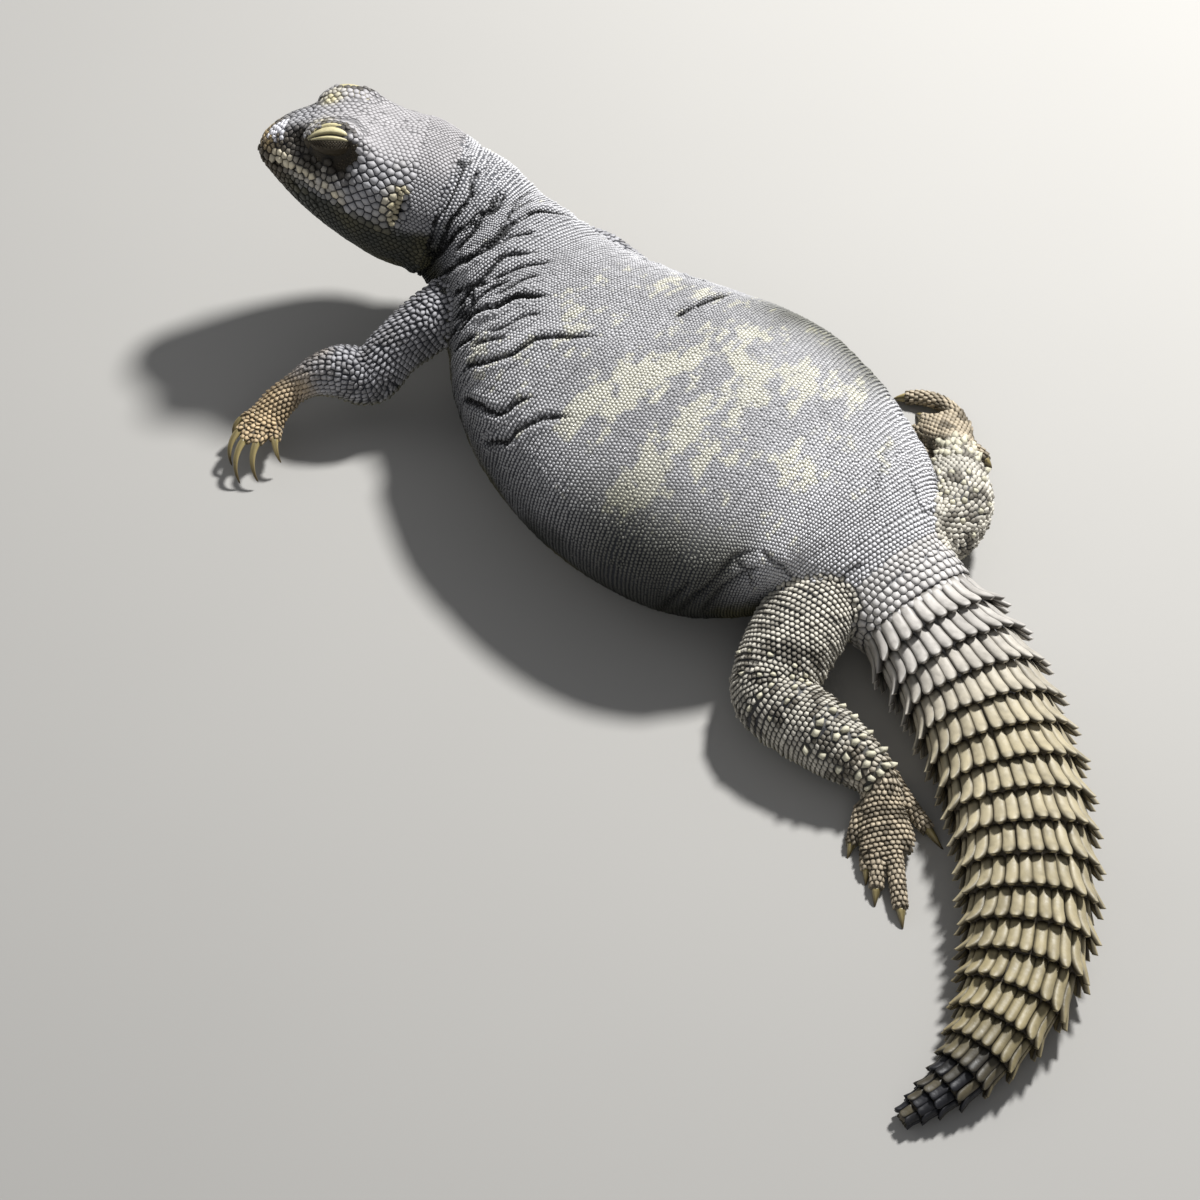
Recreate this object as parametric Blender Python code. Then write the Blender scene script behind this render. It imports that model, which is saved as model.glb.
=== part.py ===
"""A large spiny-tailed lizard, life-size and still, lying on its belly.

The head points along -X and the animal's left side faces -Y. The origin is on the floor under
the belly. Tables are in millimetres and are turned to metres where they are read.
"""

import math
import random

import bmesh
import bpy
import numpy as np
from mathutils import Matrix, Vector

MM = 0.001
GAP = 0.3 * MM
COLLECTION = "spiny_tailed_lizard"
SEED = 7

# Head: where its base sits on the neck, and how it is turned from the straight body line
HEAD_BASE = (-147.6, 4.4, 66.2)
HEAD_YAW = 30.0
HEAD_PITCH = 14.0
HEAD_ROLL = 20.0
HEAD_SIDES = 32
HEAD_LOWER_SQUARENESS = 2.2
# distance ahead of the base, half width, height of the widest line, top, bottom, upper squareness
HEAD_SECTIONS = (
    (0, 30.5, 4.0, 32.0, -31.0, 2.3),
    (10, 33.0, 3.0, 34.0, -31.0, 2.4),
    (20, 34.0, 2.0, 33.0, -29.5, 2.5),
    (30, 33.0, 1.0, 30.5, -26.5, 3.0),
    (40, 30.0, 0.0, 31.0, -23.5, 3.5),
    (50, 26.0, -1.0, 30.5, -20.0, 3.7),
    (58, 21.5, -1.5, 27.0, -17.0, 3.3),
    (66, 17.0, -1.0, 22.3, -13.0, 2.9),
    (73, 13.3, 0.0, 17.4, -9.0, 2.6),
    (78.5, 9.5, 1.5, 12.2, -5.5, 2.3),
    (81.5, 5.5, 2.5, 7.5, -2.5, 2.1),
)
SNOUT_TIP = (82.7, 0.0, 2.5)
HEAD_RINGS = (0, 6, 12, 18, 24, 30, 36, 42, 48, 54, 60, 65, 70, 74, 77.5, 80, 81.5)

EYE_CENTRE = (52.0, 16.0, 23.0)
EYE_RADIUS = 6.8
EYE_TILT = 16.0
ORBIT_CENTRE = (52.0, 28.5, 23.0)
ORBIT_RADII = (11.5, 8.0, 8.8)
LID_RADII = (9.8, 8.8, 7.4)
LID_LEAN = 8.0
SLIT_LENGTH = 15.0
SLIT_WIDTH = 1.3
SLIT_REACH = 7.9
SLIT_ARCH = 1.6
SLIT_POINTS = 7
# Ridge from behind the eye over it and on down the snout: ahead, aside, rise of its crest
BROW = (
    (24.0, 21.5, 0.0),
    (33.0, 22.0, 1.8),
    (42.0, 21.3, 4.8),
    (50.0, 19.6, 6.2),
    (58.0, 16.6, 5.2),
    (66.0, 12.6, 3.2),
    (74.0, 8.2, 1.4),
    (80.0, 5.0, 0.0),
)
BROW_SPREAD = 4.6
NOSTRIL_CENTRE = (75.5, 10.6, 8.6)
NOSTRIL_RADIUS = 1.7
EAR_CENTRE = (15.5, 35.5, 8.0)
EAR_RADII = (3.2, 5.2, 14.0)
MOUTH_CORNER = 47.0
MOUTH_LIFT = 4.6
MOUTH_FRONT = -1.2
MOUTH_SIDE_END = 81.0
MOUTH_TIP = 82.6
MOUTH_STEPS = 8
MOUTH_GROOVE = 1.0

# Trunk and tail: x, y, height of the widest line, half width, rise above it, depth below it, roll
BODY_SIDES = 28
BODY_SQUARENESS = 2.25
BODY = (
    (-147.6, 4.4, 66.2, 30.5, 28.0, 33.0, 20),
    (-137.0, 9.0, 62.0, 30.0, 30.0, 32.0, 17),
    (-124.0, 9.5, 55.0, 31.5, 29.5, 32.5, 12),
    (-106.0, 7.5, 49.0, 37.5, 33.5, 34.0, 6),
    (-88.0, 3.5, 43.0, 46.5, 38.0, 36.0, 3),
    (-66.0, -2.0, 39.0, 57.5, 41.5, 38.5, 1),
    (-40.0, -6.0, 37.0, 67.5, 43.5, 39.5, 0),
    (-12.0, -6.0, 36.0, 75.0, 44.0, 39.5, 0),
    (14.0, -3.0, 36.0, 78.0, 44.0, 39.5, 0),
    (38.0, 2.0, 35.0, 76.0, 43.0, 37.5, 0),
    (60.0, 6.5, 32.5, 66.5, 39.5, 34.5, 0),
    (80.0, 8.5, 29.5, 53.5, 34.5, 30.5, 0),
    (96.0, 7.0, 26.0, 41.0, 29.0, 26.5, 0),
    (110.0, 4.5, 22.5, 32.0, 24.0, 23.5, 0),
    (124.0, 3.0, 20.5, 29.0, 20.0, 21.5, 0),
    (137.0, 0.0, 19.0, 29.0, 18.5, 20.0, 0),
    (164.0, -8.5, 18.0, 29.3, 17.5, 19.0, 0),
    (187.0, -20.0, 17.0, 28.4, 16.5, 18.0, 0),
    (212.0, -36.5, 16.0, 27.4, 15.5, 17.0, 0),
    (233.5, -55.5, 15.0, 26.2, 14.5, 16.0, 0),
    (253.0, -78.0, 13.5, 24.6, 13.4, 14.5, 0),
    (267.0, -101.5, 12.0, 22.0, 11.8, 12.8, 0),
    (274.0, -127.0, 10.2, 16.2, 9.8, 10.8, 0),
    (275.5, -148.0, 7.8, 11.0, 7.4, 8.3, 0),
    (272.5, -164.5, 5.4, 7.0, 5.0, 5.7, 0),
    (269.0, -177.0, 3.4, 3.6, 2.8, 3.5, 0),
)
NECK_FIRST = 8.0
NECK_END_X = -122.0
TRUNK_END_X = 122.0
TRUNK_RINGS = 22
NECK_RINGS = 5

# Tail whorls: narrow rows at the root, then spiny whorls that shorten towards the tip
ROOT_ROWS = 1
ROOT_ROW_LENGTH = 7.0
WHORLS = 20
SPINY_WHORLS = 19
WHORL_LENGTH = 14.4
LONG_WHORLS = 14
WHORL_SHRINK = 0.862
WHORL_STEP = 3.2
TAIL_SIDES = 16
TAIL_PIECES = ((-1, 3), (3, 7), (7, 11), (11, 15), (15, 20))

# Legs: x, y, z, half width, half height, from root to ankle and on to the end of the palm
LEG_SIDES = 14
FORELEG_LEFT = (
    (-113, -14, 46, 15, 16),
    (-118, -32, 43, 13.5, 14.5),
    (-124, -50, 34, 11.5, 13),
    (-127, -64, 25, 11.5, 13),
    (-136, -70, 27, 11.5, 13),
    (-145, -78, 24.5, 9, 9.5),
    (-150, -86, 20, 6.8, 6.2),
    (-152, -94, 17, 7.8, 5.4),
    (-152.5, -104, 12.5, 8.4, 4.6),
    (-152, -109, 10.5, 8, 3.8),
)
FORELEG_RIGHT = (
    (-112, 18, 44, 14, 15),
    (-107, 36, 39, 12.5, 13.5),
    (-96, 51, 30, 11, 12.5),
    (-86, 58, 19, 10.5, 12),
    (-94, 62, 15, 10, 11),
    (-106, 62, 11, 8, 8),
    (-116, 62, 8, 6.8, 5.6),
    (-125, 61, 7, 8.5, 4.8),
    (-137, 60, 5.2, 10, 4.0),
    (-142, 59.5, 4.6, 9, 3.5),
)
HINDLEG_LEFT = (
    (98, -12, 26, 16, 16),
    (99, -32, 26, 19, 18),
    (103, -52, 22, 19, 18),
    (110, -68.5, 18, 16.5, 16),
    (125, -70, 17.5, 15.8, 15.2),
    (146, -68.5, 15.5, 14, 13.5),
    (167, -67.5, 11.2, 8.6, 8.8),
    (174, -74, 9, 8.5, 6),
    (186, -84, 6.6, 11, 4.8),
    (191, -88.5, 5.4, 9.5, 3.9),
)
HINDLEG_RIGHT = (
    (92, 12, 26, 15, 15),
    (101, 25, 26, 16, 16),
    (108, 36, 24, 16, 16),
    (110, 45, 23, 15.5, 15.5),
    (106, 55, 22.5, 15.5, 15.5),
    (97, 67, 19.5, 13.5, 13.5),
    (86.5, 80, 13.5, 8.8, 9.2),
    (80, 87, 10, 8.8, 6.6),
    (70, 95, 6.6, 11, 4.8),
    (64.5, 99, 5.4, 9.5, 3.9),
)
JOINTS = (3, 6)
LEG_RINGS = 7
JOINT_OVERRUN = 2.0
ROOT_CLEARANCE = 2.2

# Digits, inner one first: how far ahead of the palm's end and to its inner side each leaves,
# the way it leaves, how far it turns along its length, its length and its claw's
TOE_SIDES = 8
TOE_ROOT = 7.0
TOE_STEPS = 5
FORE_DIGITS_LEFT = (
    (-3.5, 5.2, 26, 0, 6, 9),
    (-0.5, 3.6, 5, 0, 9, 16),
    (0.0, -0.2, -3, 0, 11, 20),
    (-1.0, -4.0, -13, 0, 10, 18),
    (-4.0, -6.6, -36, 0, 8, 11),
)
FORE_DIGITS_RIGHT = (
    (-2.0, 6.0, 26, 0, 9, 9),
    (0.0, 3.5, 13, 0, 12, 12),
    (0.0, 0.0, 0, 0, 13, 13),
    (-1.0, -3.8, -13, 0, 12, 12),
    (-4.0, -6.5, -34, 0, 9, 9),
)
HIND_DIGITS_LEFT = (
    (-17.0, 10.5, 24, 0, 10, 6),
    (-10.0, 7.5, 10, 0, 15, 6),
    (-4.0, 3.6, 12, 0, 19, 6.5),
    (-1.0, -1.5, 1, 0, 26, 7),
    (-31.0, -7.0, -22, -12, 22, 10.5),
)
HIND_DIGITS_RIGHT = (
    (-19.0, 8.0, 42, 0, 8, 5),
    (-12.0, 6.5, 30, 0, 12, 5.5),
    (-7.0, 3.4, 20, 4, 12, 5.5),
    (-1.0, -5.5, 2, 88, 27, 6),
    (-19.0, -8.5, -112, -40, 7, 4),
)
FORE_TOE_RADIUS = 3.1
HIND_TOE_RADIUS = 3.7
CLAW_STEPS = 4
CLAW_SIDES = 6
CLAW_TAPER = 0.78
CLAW_THINNESS = 0.8
# How high the toes end, how far the claws curl and the way that they curl
LIFTED_GRIP = (11.0, 78.0, (0.75, -0.25, -1.0))
FLAT_GRIP = (0.0, 26.0, (0.0, 0.0, -1.0))

# Tubercles on the hind legs: first and last share of the piece's length, first and last angle
# up from its inner side, rows along it, and the size against the length and radius
TUBERCLE_LENGTH = 4.2
TUBERCLE_RADIUS = 2.1
TUBERCLE_FIELDS = {
    "hindleg_left_thigh": (0.35, 0.9, 20, 110, 4, 0.75),
    "hindleg_left_shin": (0.1, 0.75, 20, 150, 5, 1.0),
    "hindleg_right_thigh": (0.5, 0.95, 20, 150, 3, 0.75),
    "hindleg_right_shin": (0.08, 0.75, 0, 130, 5, 1.0),
}
TUBERCLES_ACROSS = 4

# Tail spines: set back from a whorl's edge, from just under one side over the back to the other
SPINE_SETBACK = 1.2
SPINE_ARC = (-12.0, 192.0)
SPINE_LEAN = (14.0, 16.0)
SPINE_SPACING = 8.2
SPINE_LENGTH = 9.2
SPINE_THICKNESS = 1.5
SPINE_ROOT = 3.2

COLOURS = {
    "skin": ((0.20, 0.22, 0.26, 1.0), 0.62),
    "tail_scutes": ((0.42, 0.38, 0.25, 1.0), 0.55),
    "feet": ((0.36, 0.29, 0.20, 1.0), 0.6),
    "claw_horn": ((0.22, 0.17, 0.08, 1.0), 0.35),
    "eye": ((0.03, 0.02, 0.015, 1.0), 0.12),
}


def smooth_row(table, distances, at):
    """The table's values on one smooth curve through its rows, at a distance along it."""
    last = len(table) - 1
    i = int(np.clip(np.searchsorted(distances, at) - 1, 0, last - 1))
    before = max(i - 1, 0)
    after = min(i + 2, last)
    span = distances[i + 1] - distances[i]
    start = (table[i + 1] - table[before]) / (distances[i + 1] - distances[before]) * span
    end = (table[after] - table[i]) / (distances[after] - distances[i]) * span
    t = (at - distances[i]) / span
    rise = table[i + 1] - table[i]
    return table[i] + t * (start + t * ((3 * rise - 2 * start - end) + t * (start + end - 2 * rise)))


class Course:
    """A smooth line through a table of sections."""

    def __init__(self, rows):
        self.table = np.array(rows, float)
        steps = np.linalg.norm(np.diff(self.table[:, :3], axis=0), axis=1)
        self.distances = np.concatenate([[0.0], np.cumsum(steps)])
        self.length = self.distances[-1]

    def row(self, at):
        return smooth_row(self.table, self.distances, at)

    def tangent(self, at):
        reach = 0.5
        ahead = self.row(min(at + reach, self.length))[:3]
        behind = self.row(max(at - reach, 0.0))[:3]
        return Vector(ahead - behind).normalized()

    def where_x(self, x):
        """The first distance at which the line reaches this x."""
        turn = int(np.argmax(self.table[:, 0])) + 1
        return float(np.interp(x, self.table[:turn, 0], self.distances[:turn]))


def power(value, squareness):
    return math.copysign(abs(value) ** (2.0 / squareness), value)


def section(centre, side, up, half_width, above, below, sides, squareness=2.0, lower=None):
    """A closed ring of points, anticlockwise seen against side x up."""
    ring = []
    for i in range(sides):
        angle = 2 * math.pi * i / sides
        height = math.sin(angle)
        shape = squareness if height >= 0 or lower is None else lower
        out = half_width * power(math.cos(angle), shape)
        rise = (above if height >= 0 else below) * power(height, shape)
        ring.append(centre + side * out + up * rise)
    return ring


def frame_at(direction, roll=0.0):
    """Side and up vectors across a direction, the up one turned by roll towards the left."""
    up = Vector((0, 0, 1))
    up = (up - direction * up.dot(direction)).normalized()
    side = direction.cross(up)
    turn = Matrix.Rotation(math.radians(roll), 3, direction)
    return turn @ side, turn @ up


def loft(rings, first_tip=None, last_tip=None):
    """A closed mesh through rings of equal count. A tip closes an end with a fan to a point."""
    bm = bmesh.new()
    loops = [[bm.verts.new(point * MM) for point in ring] for ring in rings]
    count = len(rings[0])
    for low, high in zip(loops, loops[1:]):
        for i in range(count):
            j = (i + 1) % count
            bm.faces.new((low[i], low[j], high[j], high[i]))
    for loop, tip in ((loops[0], first_tip), (loops[-1], last_tip)):
        if tip is None:
            bm.faces.new(loop)
            continue
        point = bm.verts.new(tip * MM)
        for i in range(count):
            bm.faces.new((loop[i], loop[(i + 1) % count], point))
    bmesh.ops.recalc_face_normals(bm, faces=bm.faces)
    if bm.calc_volume(signed=True) < 0:
        bmesh.ops.reverse_faces(bm, faces=bm.faces)
    return bm


def ellipsoid(centre, radii, matrix=None, segments=16):
    bm = bmesh.new()
    bmesh.ops.create_uvsphere(bm, u_segments=segments, v_segments=segments * 5 // 8, radius=1.0)
    place = Matrix.Translation(Vector(centre) * MM) @ (matrix or Matrix.Identity(4))
    bmesh.ops.transform(bm, matrix=place @ Matrix.Diagonal(Vector((*radii, 1 / MM)) * MM), verts=bm.verts)
    return bm


def cut_at_floor(bm):
    """Takes away what lies below the floor and closes the cut with a flat."""
    if min(v.co.z for v in bm.verts) >= 0:
        return
    everything = bm.verts[:] + bm.edges[:] + bm.faces[:]
    bmesh.ops.bisect_plane(
        bm, geom=everything, plane_co=(0, 0, 0), plane_no=(0, 0, 1), dist=1e-7, clear_inner=True
    )
    bmesh.ops.holes_fill(bm, edges=[e for e in bm.edges if e.is_boundary], sides=0)
    for vert in bm.verts:
        if vert.co.z < 1e-6:
            vert.co.z = 0.0
    bmesh.ops.recalc_face_normals(bm, faces=bm.faces)


def object_from(bm, name, collection):
    mesh = bpy.data.meshes.new(name)
    bm.to_mesh(mesh)
    bm.free()
    obj = bpy.data.objects.new(name, mesh)
    collection.objects.link(obj)
    return obj


def helper_collection(name):
    helpers = bpy.data.collections.new(name)
    helpers.hide_render = True
    bpy.context.scene.collection.children.link(helpers)
    return helpers


def boolean(obj, meshes, operation, solver="EXACT"):
    """Joins or cuts with closed meshes in one Boolean, applies it and clears the helpers away."""
    helpers = helper_collection("helpers")
    for number, bm in enumerate(meshes):
        piece = object_from(bm, f"helper_{number}", helpers)
        piece.hide_render = True
        piece.display_type = "WIRE"
    modifier = obj.modifiers.new(operation.lower(), "BOOLEAN")
    modifier.operand_type = "COLLECTION"
    modifier.collection = helpers
    modifier.operation = operation
    modifier.solver = solver
    bpy.context.view_layer.update()
    evaluated = obj.evaluated_get(bpy.context.evaluated_depsgraph_get())
    joined = bpy.data.meshes.new_from_object(evaluated)
    obj.modifiers.clear()
    old = obj.data
    obj.data = joined
    bpy.data.meshes.remove(old)
    for piece in list(helpers.objects):
        bpy.data.objects.remove(piece, do_unlink=True)
    bpy.data.collections.remove(helpers)
    keep_largest(obj)


def keep_largest(obj):
    """Keeps only the largest closed surface of an object."""
    bm = bmesh.new()
    bm.from_mesh(obj.data)
    left = set(bm.verts)
    groups = []
    while left:
        start = left.pop()
        group = {start}
        edge_of = [start]
        while edge_of:
            vert = edge_of.pop()
            for edge in vert.link_edges:
                other = edge.other_vert(vert)
                if other in left:
                    left.remove(other)
                    group.add(other)
                    edge_of.append(other)
        groups.append(group)
    groups.sort(key=len, reverse=True)
    scraps = [vert for group in groups[1:] for vert in group]
    bmesh.ops.delete(bm, geom=scraps, context="VERTS")
    bm.to_mesh(obj.data)
    bm.free()


def grown(obj, amount):
    """A copy of a mesh with its surface moved outwards."""
    bm = bmesh.new()
    bm.from_mesh(obj.data)
    bm.normal_update()
    moved = [vert.co + vert.normal * amount for vert in bm.verts]
    for vert, place in zip(bm.verts, moved):
        vert.co = place
    return bm


def material(name):
    found = bpy.data.materials.get(name)
    if found:
        return found
    colour, roughness = COLOURS[name]
    made = bpy.data.materials.new(name)
    made.use_nodes = True
    shader = made.node_tree.nodes["Principled BSDF"]
    shader.inputs["Base Color"].default_value = colour
    shader.inputs["Roughness"].default_value = roughness
    shader.inputs["Metallic"].default_value = 0.0
    made.diffuse_color = colour
    return made


def finish(obj, finish_name):
    obj.data.materials.clear()
    obj.data.materials.append(material(finish_name))
    obj.data.shade_smooth()
    obj.data.set_sharp_from_angle(angle=math.radians(40))
    return obj


def floor_object(obj):
    bm = bmesh.new()
    bm.from_mesh(obj.data)
    cut_at_floor(bm)
    bm.to_mesh(obj.data)
    bm.free()
    keep_largest(obj)


# Head


def head_matrix():
    """Turns the head's own frame, x' ahead, y' to its left and z' up, into the body's frame."""
    yaw, pitch = math.radians(HEAD_YAW), math.radians(HEAD_PITCH)
    ahead = Vector(
        (-math.cos(pitch) * math.cos(yaw), -math.cos(pitch) * math.sin(yaw), math.sin(pitch))
    )
    right, up = frame_at(ahead, HEAD_ROLL)
    axes = Matrix((ahead, -right, up)).transposed().to_4x4()
    return Matrix.Translation(Vector(HEAD_BASE)) @ axes


def head_section(at):
    table = np.array(HEAD_SECTIONS, float)
    return smooth_row(table, table[:, 0], at)


def head_ring(at, matrix):
    ahead, width, middle, top, bottom, squareness = head_section(at)
    ring = section(
        Vector((ahead, 0, middle)),
        Vector((0, 1, 0)),
        Vector((0, 0, 1)),
        width,
        top - middle,
        middle - bottom,
        HEAD_SIDES,
        squareness,
        HEAD_LOWER_SQUARENESS,
    )
    brow = np.array(BROW, float)
    aside = np.interp(at, brow[:, 0], brow[:, 1])
    rise = np.interp(at, brow[:, 0], brow[:, 2])
    for point in ring:
        if point.z > middle:
            off = (abs(point.y) - aside) / BROW_SPREAD
            point.z += rise * math.exp(-off * off)
    return [matrix @ point for point in ring]


def head_half_width(at, height):
    """How far the plain head reaches sideways at a distance ahead and a height."""
    _, width, middle, top, bottom, squareness = head_section(at)
    upper = height >= middle
    reach = top - middle if upper else middle - bottom
    squareness = squareness if upper else HEAD_LOWER_SQUARENESS
    share = min(abs(height - middle) / reach, 0.999)
    return width * (1 - share**squareness) ** (1 / squareness)


def mouth_line():
    """The parting of the lips, from the left corner round the snout to the right corner."""
    left = []
    for step in range(MOUTH_STEPS + 1):
        share = step / MOUTH_STEPS
        ahead = MOUTH_CORNER + (MOUTH_SIDE_END - MOUTH_CORNER) * share
        height = MOUTH_FRONT + (MOUTH_LIFT - MOUTH_FRONT) * min(1.0, (1 - share) * 1.7)
        left.append(Vector((ahead, head_half_width(ahead, height), height)))
    return left + [Vector((MOUTH_TIP, 0, MOUTH_FRONT))] + [Vector((p.x, -p.y, p.z)) for p in reversed(left)]


def tube(points, radii, sides, flatten=1.0):
    """A closed tube through points, flatter in height by a factor."""
    up = Vector((0, 0, 1))
    rings = []
    for i, point in enumerate(points):
        ahead = (points[min(i + 1, len(points) - 1)] - points[max(i - 1, 0)]).normalized()
        side = ahead.cross(up).normalized()
        rise = side.cross(ahead)
        rings.append(
            section(point, side, rise, radii[i], radii[i] * flatten, radii[i] * flatten, sides)
        )
    return loft(rings)


def lid_matrix(hand):
    """The lids lean outwards from the brow and rise towards the back of the head."""
    lean = Matrix.Rotation(math.radians(LID_LEAN * hand), 4, "X")
    return lean @ Matrix.Rotation(math.radians(EYE_TILT), 4, "Y")


def mirrored(values, hand):
    return (values[0], values[1] * hand, values[2])


def slit(hand):
    """A thin arched wedge that parts the lids of one eye."""
    centre = Vector(mirrored(EYE_CENTRE, hand))
    tilt = Matrix.Rotation(math.radians(EYE_TILT), 3, "Y")
    points = []
    radii = []
    for step in range(SLIT_POINTS):
        share = step / (SLIT_POINTS - 1) - 0.5
        arch = SLIT_ARCH * (0.5 - (2 * share) ** 2)
        out = SLIT_REACH * math.cos(share * 1.5)
        points.append(centre + tilt @ Vector((share * SLIT_LENGTH, out * hand, arch)))
        radii.append(SLIT_WIDTH * (0.35 + 0.65 * math.cos(share * 2.7)))
    return tube(points, radii, 6, flatten=0.75)


def build_head(collection):
    matrix = head_matrix()
    scaled = Matrix.Translation(matrix.translation * MM) @ matrix.to_3x3().to_4x4()
    rings = [head_ring(at, matrix) for at in HEAD_RINGS]
    head = object_from(loft(rings, last_tip=matrix @ Vector(SNOUT_TIP)), "head", collection)
    orbits = []
    joins = []
    cuts = []
    for hand in (1, -1):
        orbits.append(ellipsoid(mirrored(ORBIT_CENTRE, hand), ORBIT_RADII, None, 12))
        lids = ellipsoid(mirrored(EYE_CENTRE, hand), LID_RADII, lid_matrix(hand), 14)
        joins.append(lids)
        ball = ellipsoid(mirrored(EYE_CENTRE, hand), [EYE_RADIUS + GAP / MM] * 3, None, 12)
        nostril = ellipsoid(mirrored(NOSTRIL_CENTRE, hand), [NOSTRIL_RADIUS] * 3, None, 8)
        ear = ellipsoid(mirrored(EAR_CENTRE, hand), EAR_RADII, None, 14)
        cuts += [ball, slit(hand), nostril, ear]
    line = mouth_line()
    cuts.append(tube(line, [MOUTH_GROOVE] * len(line), 6, flatten=0.7))
    for bm in orbits + joins + cuts:
        bmesh.ops.transform(bm, matrix=scaled, verts=bm.verts)
    boolean(head, orbits, "DIFFERENCE")
    boolean(head, joins, "UNION")
    boolean(head, cuts, "DIFFERENCE", "MANIFOLD")
    finish(head, "skin")
    for hand, side in ((1, "left"), (-1, "right")):
        ball = ellipsoid(mirrored(EYE_CENTRE, hand), [EYE_RADIUS] * 3, None, 12)
        bmesh.ops.transform(ball, matrix=scaled, verts=ball.verts)
        finish(object_from(ball, f"eye_{side}", collection), "eye")


# Neck, torso and tail


def body_ring(course, at, sides=BODY_SIDES, out=0.0, squareness=BODY_SQUARENESS):
    x, y, z, width, above, below, roll = course.row(at)
    side, up = frame_at(course.tangent(at), -roll)
    return section(
        Vector((x, y, z)), side, up, width + out, above + out, below + out, sides, squareness
    )


def neck_first_ring():
    """The neck starts with the head's own outline, a gap behind it."""
    matrix = head_matrix()
    back = matrix.to_3x3() @ Vector((GAP / MM, 0, 0))
    _, width, middle, top, bottom, squareness = head_section(0)
    centre = matrix @ Vector((0, 0, middle)) - back
    side = matrix.to_3x3() @ Vector((0, 1, 0))
    up = matrix.to_3x3() @ Vector((0, 0, 1))
    return section(
        centre,
        side,
        up,
        width,
        top - middle,
        middle - bottom,
        BODY_SIDES,
        squareness,
        HEAD_LOWER_SQUARENESS,
    )


def build_trunk(course, collection):
    neck_end = course.where_x(NECK_END_X)
    trunk_end = course.where_x(TRUNK_END_X)
    half_gap = GAP / MM / 2
    neck_at = np.linspace(NECK_FIRST, neck_end - half_gap, NECK_RINGS)
    rings = [neck_first_ring()] + [body_ring(course, at) for at in neck_at]
    neck = object_from(loft(rings), "neck", collection)
    trunk_at = np.linspace(neck_end + half_gap, trunk_end - half_gap, TRUNK_RINGS)
    bm = loft([body_ring(course, at) for at in trunk_at])
    cut_at_floor(bm)
    torso = object_from(bm, "torso", collection)
    finish(neck, "skin")
    finish(torso, "skin")
    return neck, torso


def whorl_lengths():
    lengths = [ROOT_ROW_LENGTH] * ROOT_ROWS
    for number in range(WHORLS):
        late = max(0, number - LONG_WHORLS + 1)
        lengths.append(WHORL_LENGTH * WHORL_SHRINK**late)
    return lengths


def spine(course, at, angle, size, lift, sideways):
    """One flat tapering spine on a whorl's edge, sunk into it and pointing back and outwards."""
    x, y, z, width, above, below, roll = course.row(at)
    back = course.tangent(at)
    side, up = frame_at(back, -roll)
    out = side * math.cos(angle) + up * math.sin(angle)
    reach_side = width * power(math.cos(angle), BODY_SQUARENESS)
    reach_up = above * power(math.sin(angle), BODY_SQUARENESS) if math.sin(angle) > 0 else 0
    if math.sin(angle) <= 0:
        reach_up = below * power(math.sin(angle), BODY_SQUARENESS)
    crest = Vector((x, y, z)) + side * reach_side + up * reach_up
    normal = (side * (reach_side / width**2) + up * (reach_up / above**2)).normalized()
    along = (back * math.cos(lift) + normal * math.sin(lift)).normalized()
    across = along.cross(normal).normalized()
    across = (across + back * sideways).normalized()
    thick = across.cross(along).normalized()
    root = crest - normal * SPINE_THICKNESS * size * 0.8 - along * SPINE_ROOT
    half = SPINE_SPACING * 0.42 * size
    depth = SPINE_THICKNESS * size
    middle = root + along * (SPINE_ROOT + SPINE_LENGTH * size * 0.35)
    tip = root + along * (SPINE_ROOT + SPINE_LENGTH * size * 0.8)
    rings = [
        section(root, across, thick, half, depth, depth, 4),
        section(middle, across, thick, half * 0.75, depth * 0.8, depth * 0.8, 4),
    ]
    return loft(rings, last_tip=tip)


def whorl_spines(course, start, length, draw):
    """The ring of spines along the back edge of one whorl, above the floor side."""
    edge = start + length - SPINE_SETBACK
    _, _, _, width, above, _, _ = course.row(edge)
    around = math.pi * math.sqrt((width**2 + above**2) / 2)
    count = max(4, round(around / SPINE_SPACING))
    found = []
    for number in range(count):
        first, last = SPINE_ARC
        angle = math.radians(first + (last - first) * (number + 0.5) / count)
        low = abs(math.cos(angle))
        size = (0.62 + 0.38 * low) * draw.uniform(0.92, 1.08) * min(1.0, width / 17 + 0.15)
        lift = math.radians(SPINE_LEAN[0] + SPINE_LEAN[1] * low)
        found.append(spine(course, edge, angle, size, lift, draw.uniform(-0.06, 0.06)))
    return found


def build_tail(course, collection, draw):
    lengths = whorl_lengths()
    starts = [course.where_x(TRUNK_END_X)]
    for length in lengths:
        starts.append(starts[-1] + length)
    half_gap = GAP / MM / 2
    tails = []
    for number, (first, last) in enumerate(TAIL_PIECES, 1):
        rings = []
        spines = []
        for whorl in range(first + ROOT_ROWS, last + ROOT_ROWS):
            start, length = starts[whorl], lengths[whorl]
            full = whorl >= ROOT_ROWS
            step = WHORL_STEP * min(1.0, course.row(start)[3] / 20) if full else 1.0
            for share, out in ((0.02, -step), (0.92, 0.0)):
                rings.append(body_ring(course, start + length * share + half_gap, TAIL_SIDES, out))
            if ROOT_ROWS <= whorl < ROOT_ROWS + SPINY_WHORLS:
                spines += whorl_spines(course, start, length, draw)
        end = starts[last + ROOT_ROWS] - half_gap
        if number < len(TAIL_PIECES):
            rings.append(body_ring(course, end, TAIL_SIDES, -0.4))
            tail = loft(rings)
        else:
            point = course.row(course.length)
            tail = loft(rings, last_tip=Vector(point[:3]) + course.tangent(course.length) * 2)
        obj = object_from(tail, f"tail_{number}", collection)
        boolean(obj, spines, "UNION")
        floor_object(obj)
        finish(obj, "tail_scutes")
        tails.append(obj)
    return tails


# Legs


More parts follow.
